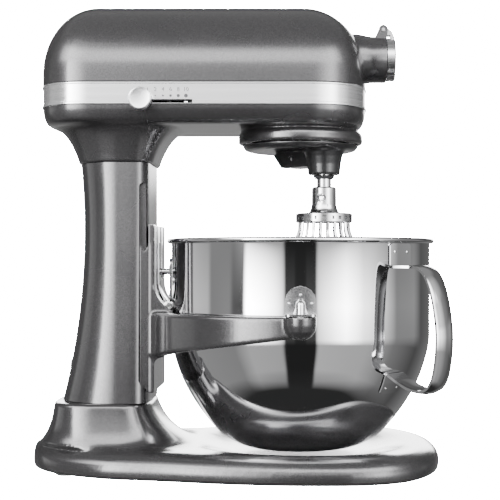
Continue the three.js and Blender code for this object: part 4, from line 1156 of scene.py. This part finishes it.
# What a reflection sees round the studio: brightness by direction in degrees, where 0 is towards the camera,
# positive is the mixer's front and 180 is behind it.
LEVEL = [(-180, 0.4), (-166, 0.4), (-161, 0.15), (-135, 0.08), (-120, 0.1), (-114, 0.9), (-88, 0.7),
         (-84, 0.25), (-64, 0.3), (-60, 0.12), (-50, 0.1), (-47, 24.0), (-32, 14.0), (-15, 2.4),
         (-13, 0.09), (-5, 0.09), (-4, 0.04), (4, 0.04), (5, 0.09), (13, 0.09), (15, 2.4), (26, 5.5),
         (40, 12.0), (56, 4.0), (72, 1.8), (84, 0.8), (92, 0.3), (118, 0.35), (132, 0.1), (161, 0.15),
         (166, 0.4), (180, 0.4)]
RAISED = [(-180, 9.0), (-162, 9.0), (-156, 0.1), (-120, 0.08), (-105, 0.25), (-70, 0.25), (-50, 0.3),
          (-47, 22.0), (-30, 12.0), (-14, 2.2), (0, 1.8), (14, 2.0), (30, 6.0), (42, 9.0), (60, 1.6),
          (90, 0.3), (125, 0.1), (156, 0.1), (162, 9.0), (180, 9.0)]
SOFTBOX = [(-180, 0.1), (-110, 0.12), (-80, 0.4), (-50, 14.0), (-20, 8.0), (15, 7.5), (50, 10.0),
           (75, 0.8), (110, 0.15), (180, 0.1)]
BELOW = [(-180, 0.3), (-120, 0.08), (-105, 0.3), (-60, 0.25), (-45, 0.5), (-16, 0.45), (-13, 0.02),
         (13, 0.02), (16, 0.6), (60, 0.5), (90, 0.2), (125, 0.08), (180, 0.3)]
BRIGHTEST = 24.0


class World(Tree):
    """The studio's world, worked out from the direction that a ray leaves in."""

    def __init__(self):
        world = bpy.data.worlds.new("studio")
        bpy.context.scene.world = world
        world.use_nodes = True
        self.tree = world.node_tree
        self.tree.nodes.clear()
        split = self.add("ShaderNodeSeparateXYZ")
        self.link(self.add("ShaderNodeTexCoord").outputs["Generated"], split.inputs[0])
        self.height = split.outputs["Z"]
        towards = self.math("MULTIPLY", split.outputs["Y"], -1.0)
        around = self.math("ARCTAN2", split.outputs["X"], towards)
        self.share = self.remap(around, -math.pi, math.pi)

    def math(self, operation, a, b):
        node = self.add("ShaderNodeMath", operation=operation)
        for socket, value in zip(node.inputs, (a, b)):
            if isinstance(value, float):
                socket.default_value = value
            else:
                self.link(value, socket)
        return node.outputs[0]

    def remap(self, value, start, end):
        node = self.add("ShaderNodeMapRange", From_Min=start, From_Max=end)
        self.link(value, node.inputs["Value"])
        return node.outputs["Result"]

    def ring(self, levels):
        """Brightness all round, as a share of the brightest."""
        node = self.add("ShaderNodeValToRGB")
        stops = node.color_ramp.elements
        stops.remove(stops[-1])
        for i, (degrees, level) in enumerate(levels):
            stop = stops[0] if i == 0 else stops.new((degrees + 180) / 360)
            stop.position = (degrees + 180) / 360
            stop.color = (level / BRIGHTEST,) * 3 + (1,)
        self.link(self.share, node.inputs["Fac"])
        return node.outputs["Color"]

    def blend(self, share, first, second):
        node = self.add("ShaderNodeMix", data_type="RGBA")
        self.link(share, node.inputs[0])
        self.link(first, node.inputs[6])
        if isinstance(second, float):
            node.inputs[7].default_value = (second / BRIGHTEST,) * 3 + (1,)
        else:
            self.link(second, node.inputs[7])
        return node.outputs[2]

    def background(self, color, strength):
        """A plain white one where no colour is given."""
        node = self.add("ShaderNodeBackground", Color=(1, 1, 1, 1), Strength=strength)
        if color:
            self.link(color, node.inputs["Color"])
        return node.outputs[0]

    def pick(self, ray, otherwise, seen):
        node = self.add("ShaderNodeMixShader")
        for socket, value in zip(node.inputs, (ray, otherwise, seen)):
            self.link(value, socket)
        return node.outputs[0]


def make_world():
    """White panels, grey flags and a dark gap stand round the mixer, with a softbox over the camera."""
    world = World()
    sides = world.blend(world.remap(world.height, -0.2, -0.04), world.ring(BELOW), world.ring(LEVEL))
    sides = world.blend(world.remap(world.height, 0.05, 0.11), sides, world.ring(RAISED))
    sides = world.blend(world.remap(world.height, 0.3, 0.4), sides, world.ring(SOFTBOX))
    sides = world.blend(world.remap(world.height, 0.6, 0.74), sides, 0.3)
    sides = world.blend(world.remap(world.height, -0.62, -0.8), sides, 0.03)
    rays = world.add("ShaderNodeLightPath")
    surface = world.pick(rays.outputs["Is Diffuse Ray"], world.background(sides, BRIGHTEST),
                         world.background(None, 1.0))
    surface = world.pick(rays.outputs["Is Camera Ray"], surface, world.background(None, BACKDROP))
    world.link(surface, world.add("ShaderNodeOutputWorld").inputs["Surface"])


def make_key_light():
    """A faint panel above and to the left of the camera, aimed at the mixer's middle."""
    data = bpy.data.lights.new("key", "AREA")
    data.shape = "RECTANGLE"
    data.size = 0.9
    data.size_y = 0.9
    data.energy = 4
    key = bpy.data.objects.new("key", data)
    collection.objects.link(key)
    key.location = (-0.9, -1.2, 1.6)
    target = Vector((0, 0, 0.25))
    key.rotation_euler = (target - key.location).to_track_quat("-Z", "Y").to_euler()


def make_camera():
    data = bpy.data.cameras.new("camera")
    data.sensor_width = 36
    data.lens = 88.3
    data.shift_x = -0.101
    data.shift_y = 0.019
    camera = bpy.data.objects.new("camera", data)
    collection.objects.link(camera)
    camera.location = (AXIS_X * MM, -1.128, 0.189)
    camera.rotation_euler = (math.pi / 2, 0, 0)
    bpy.context.scene.camera = camera


for build in (make_camera, make_floor, make_world, make_key_light, make_base, make_column,
              make_head_cover, make_gearcase, make_band, make_slot_seal, make_dial, make_speed_knob,
              make_hub_cap, make_attachment_knob, make_planetary, make_whisk, make_shaft, make_support,
              make_latch, make_bowl, make_handle):
    build()
for side in (-1, 1):
    make_pin_bracket(side)
for build in (make_rear_bracket, make_locating_pins, make_gland, make_feet, make_lever):
    build()
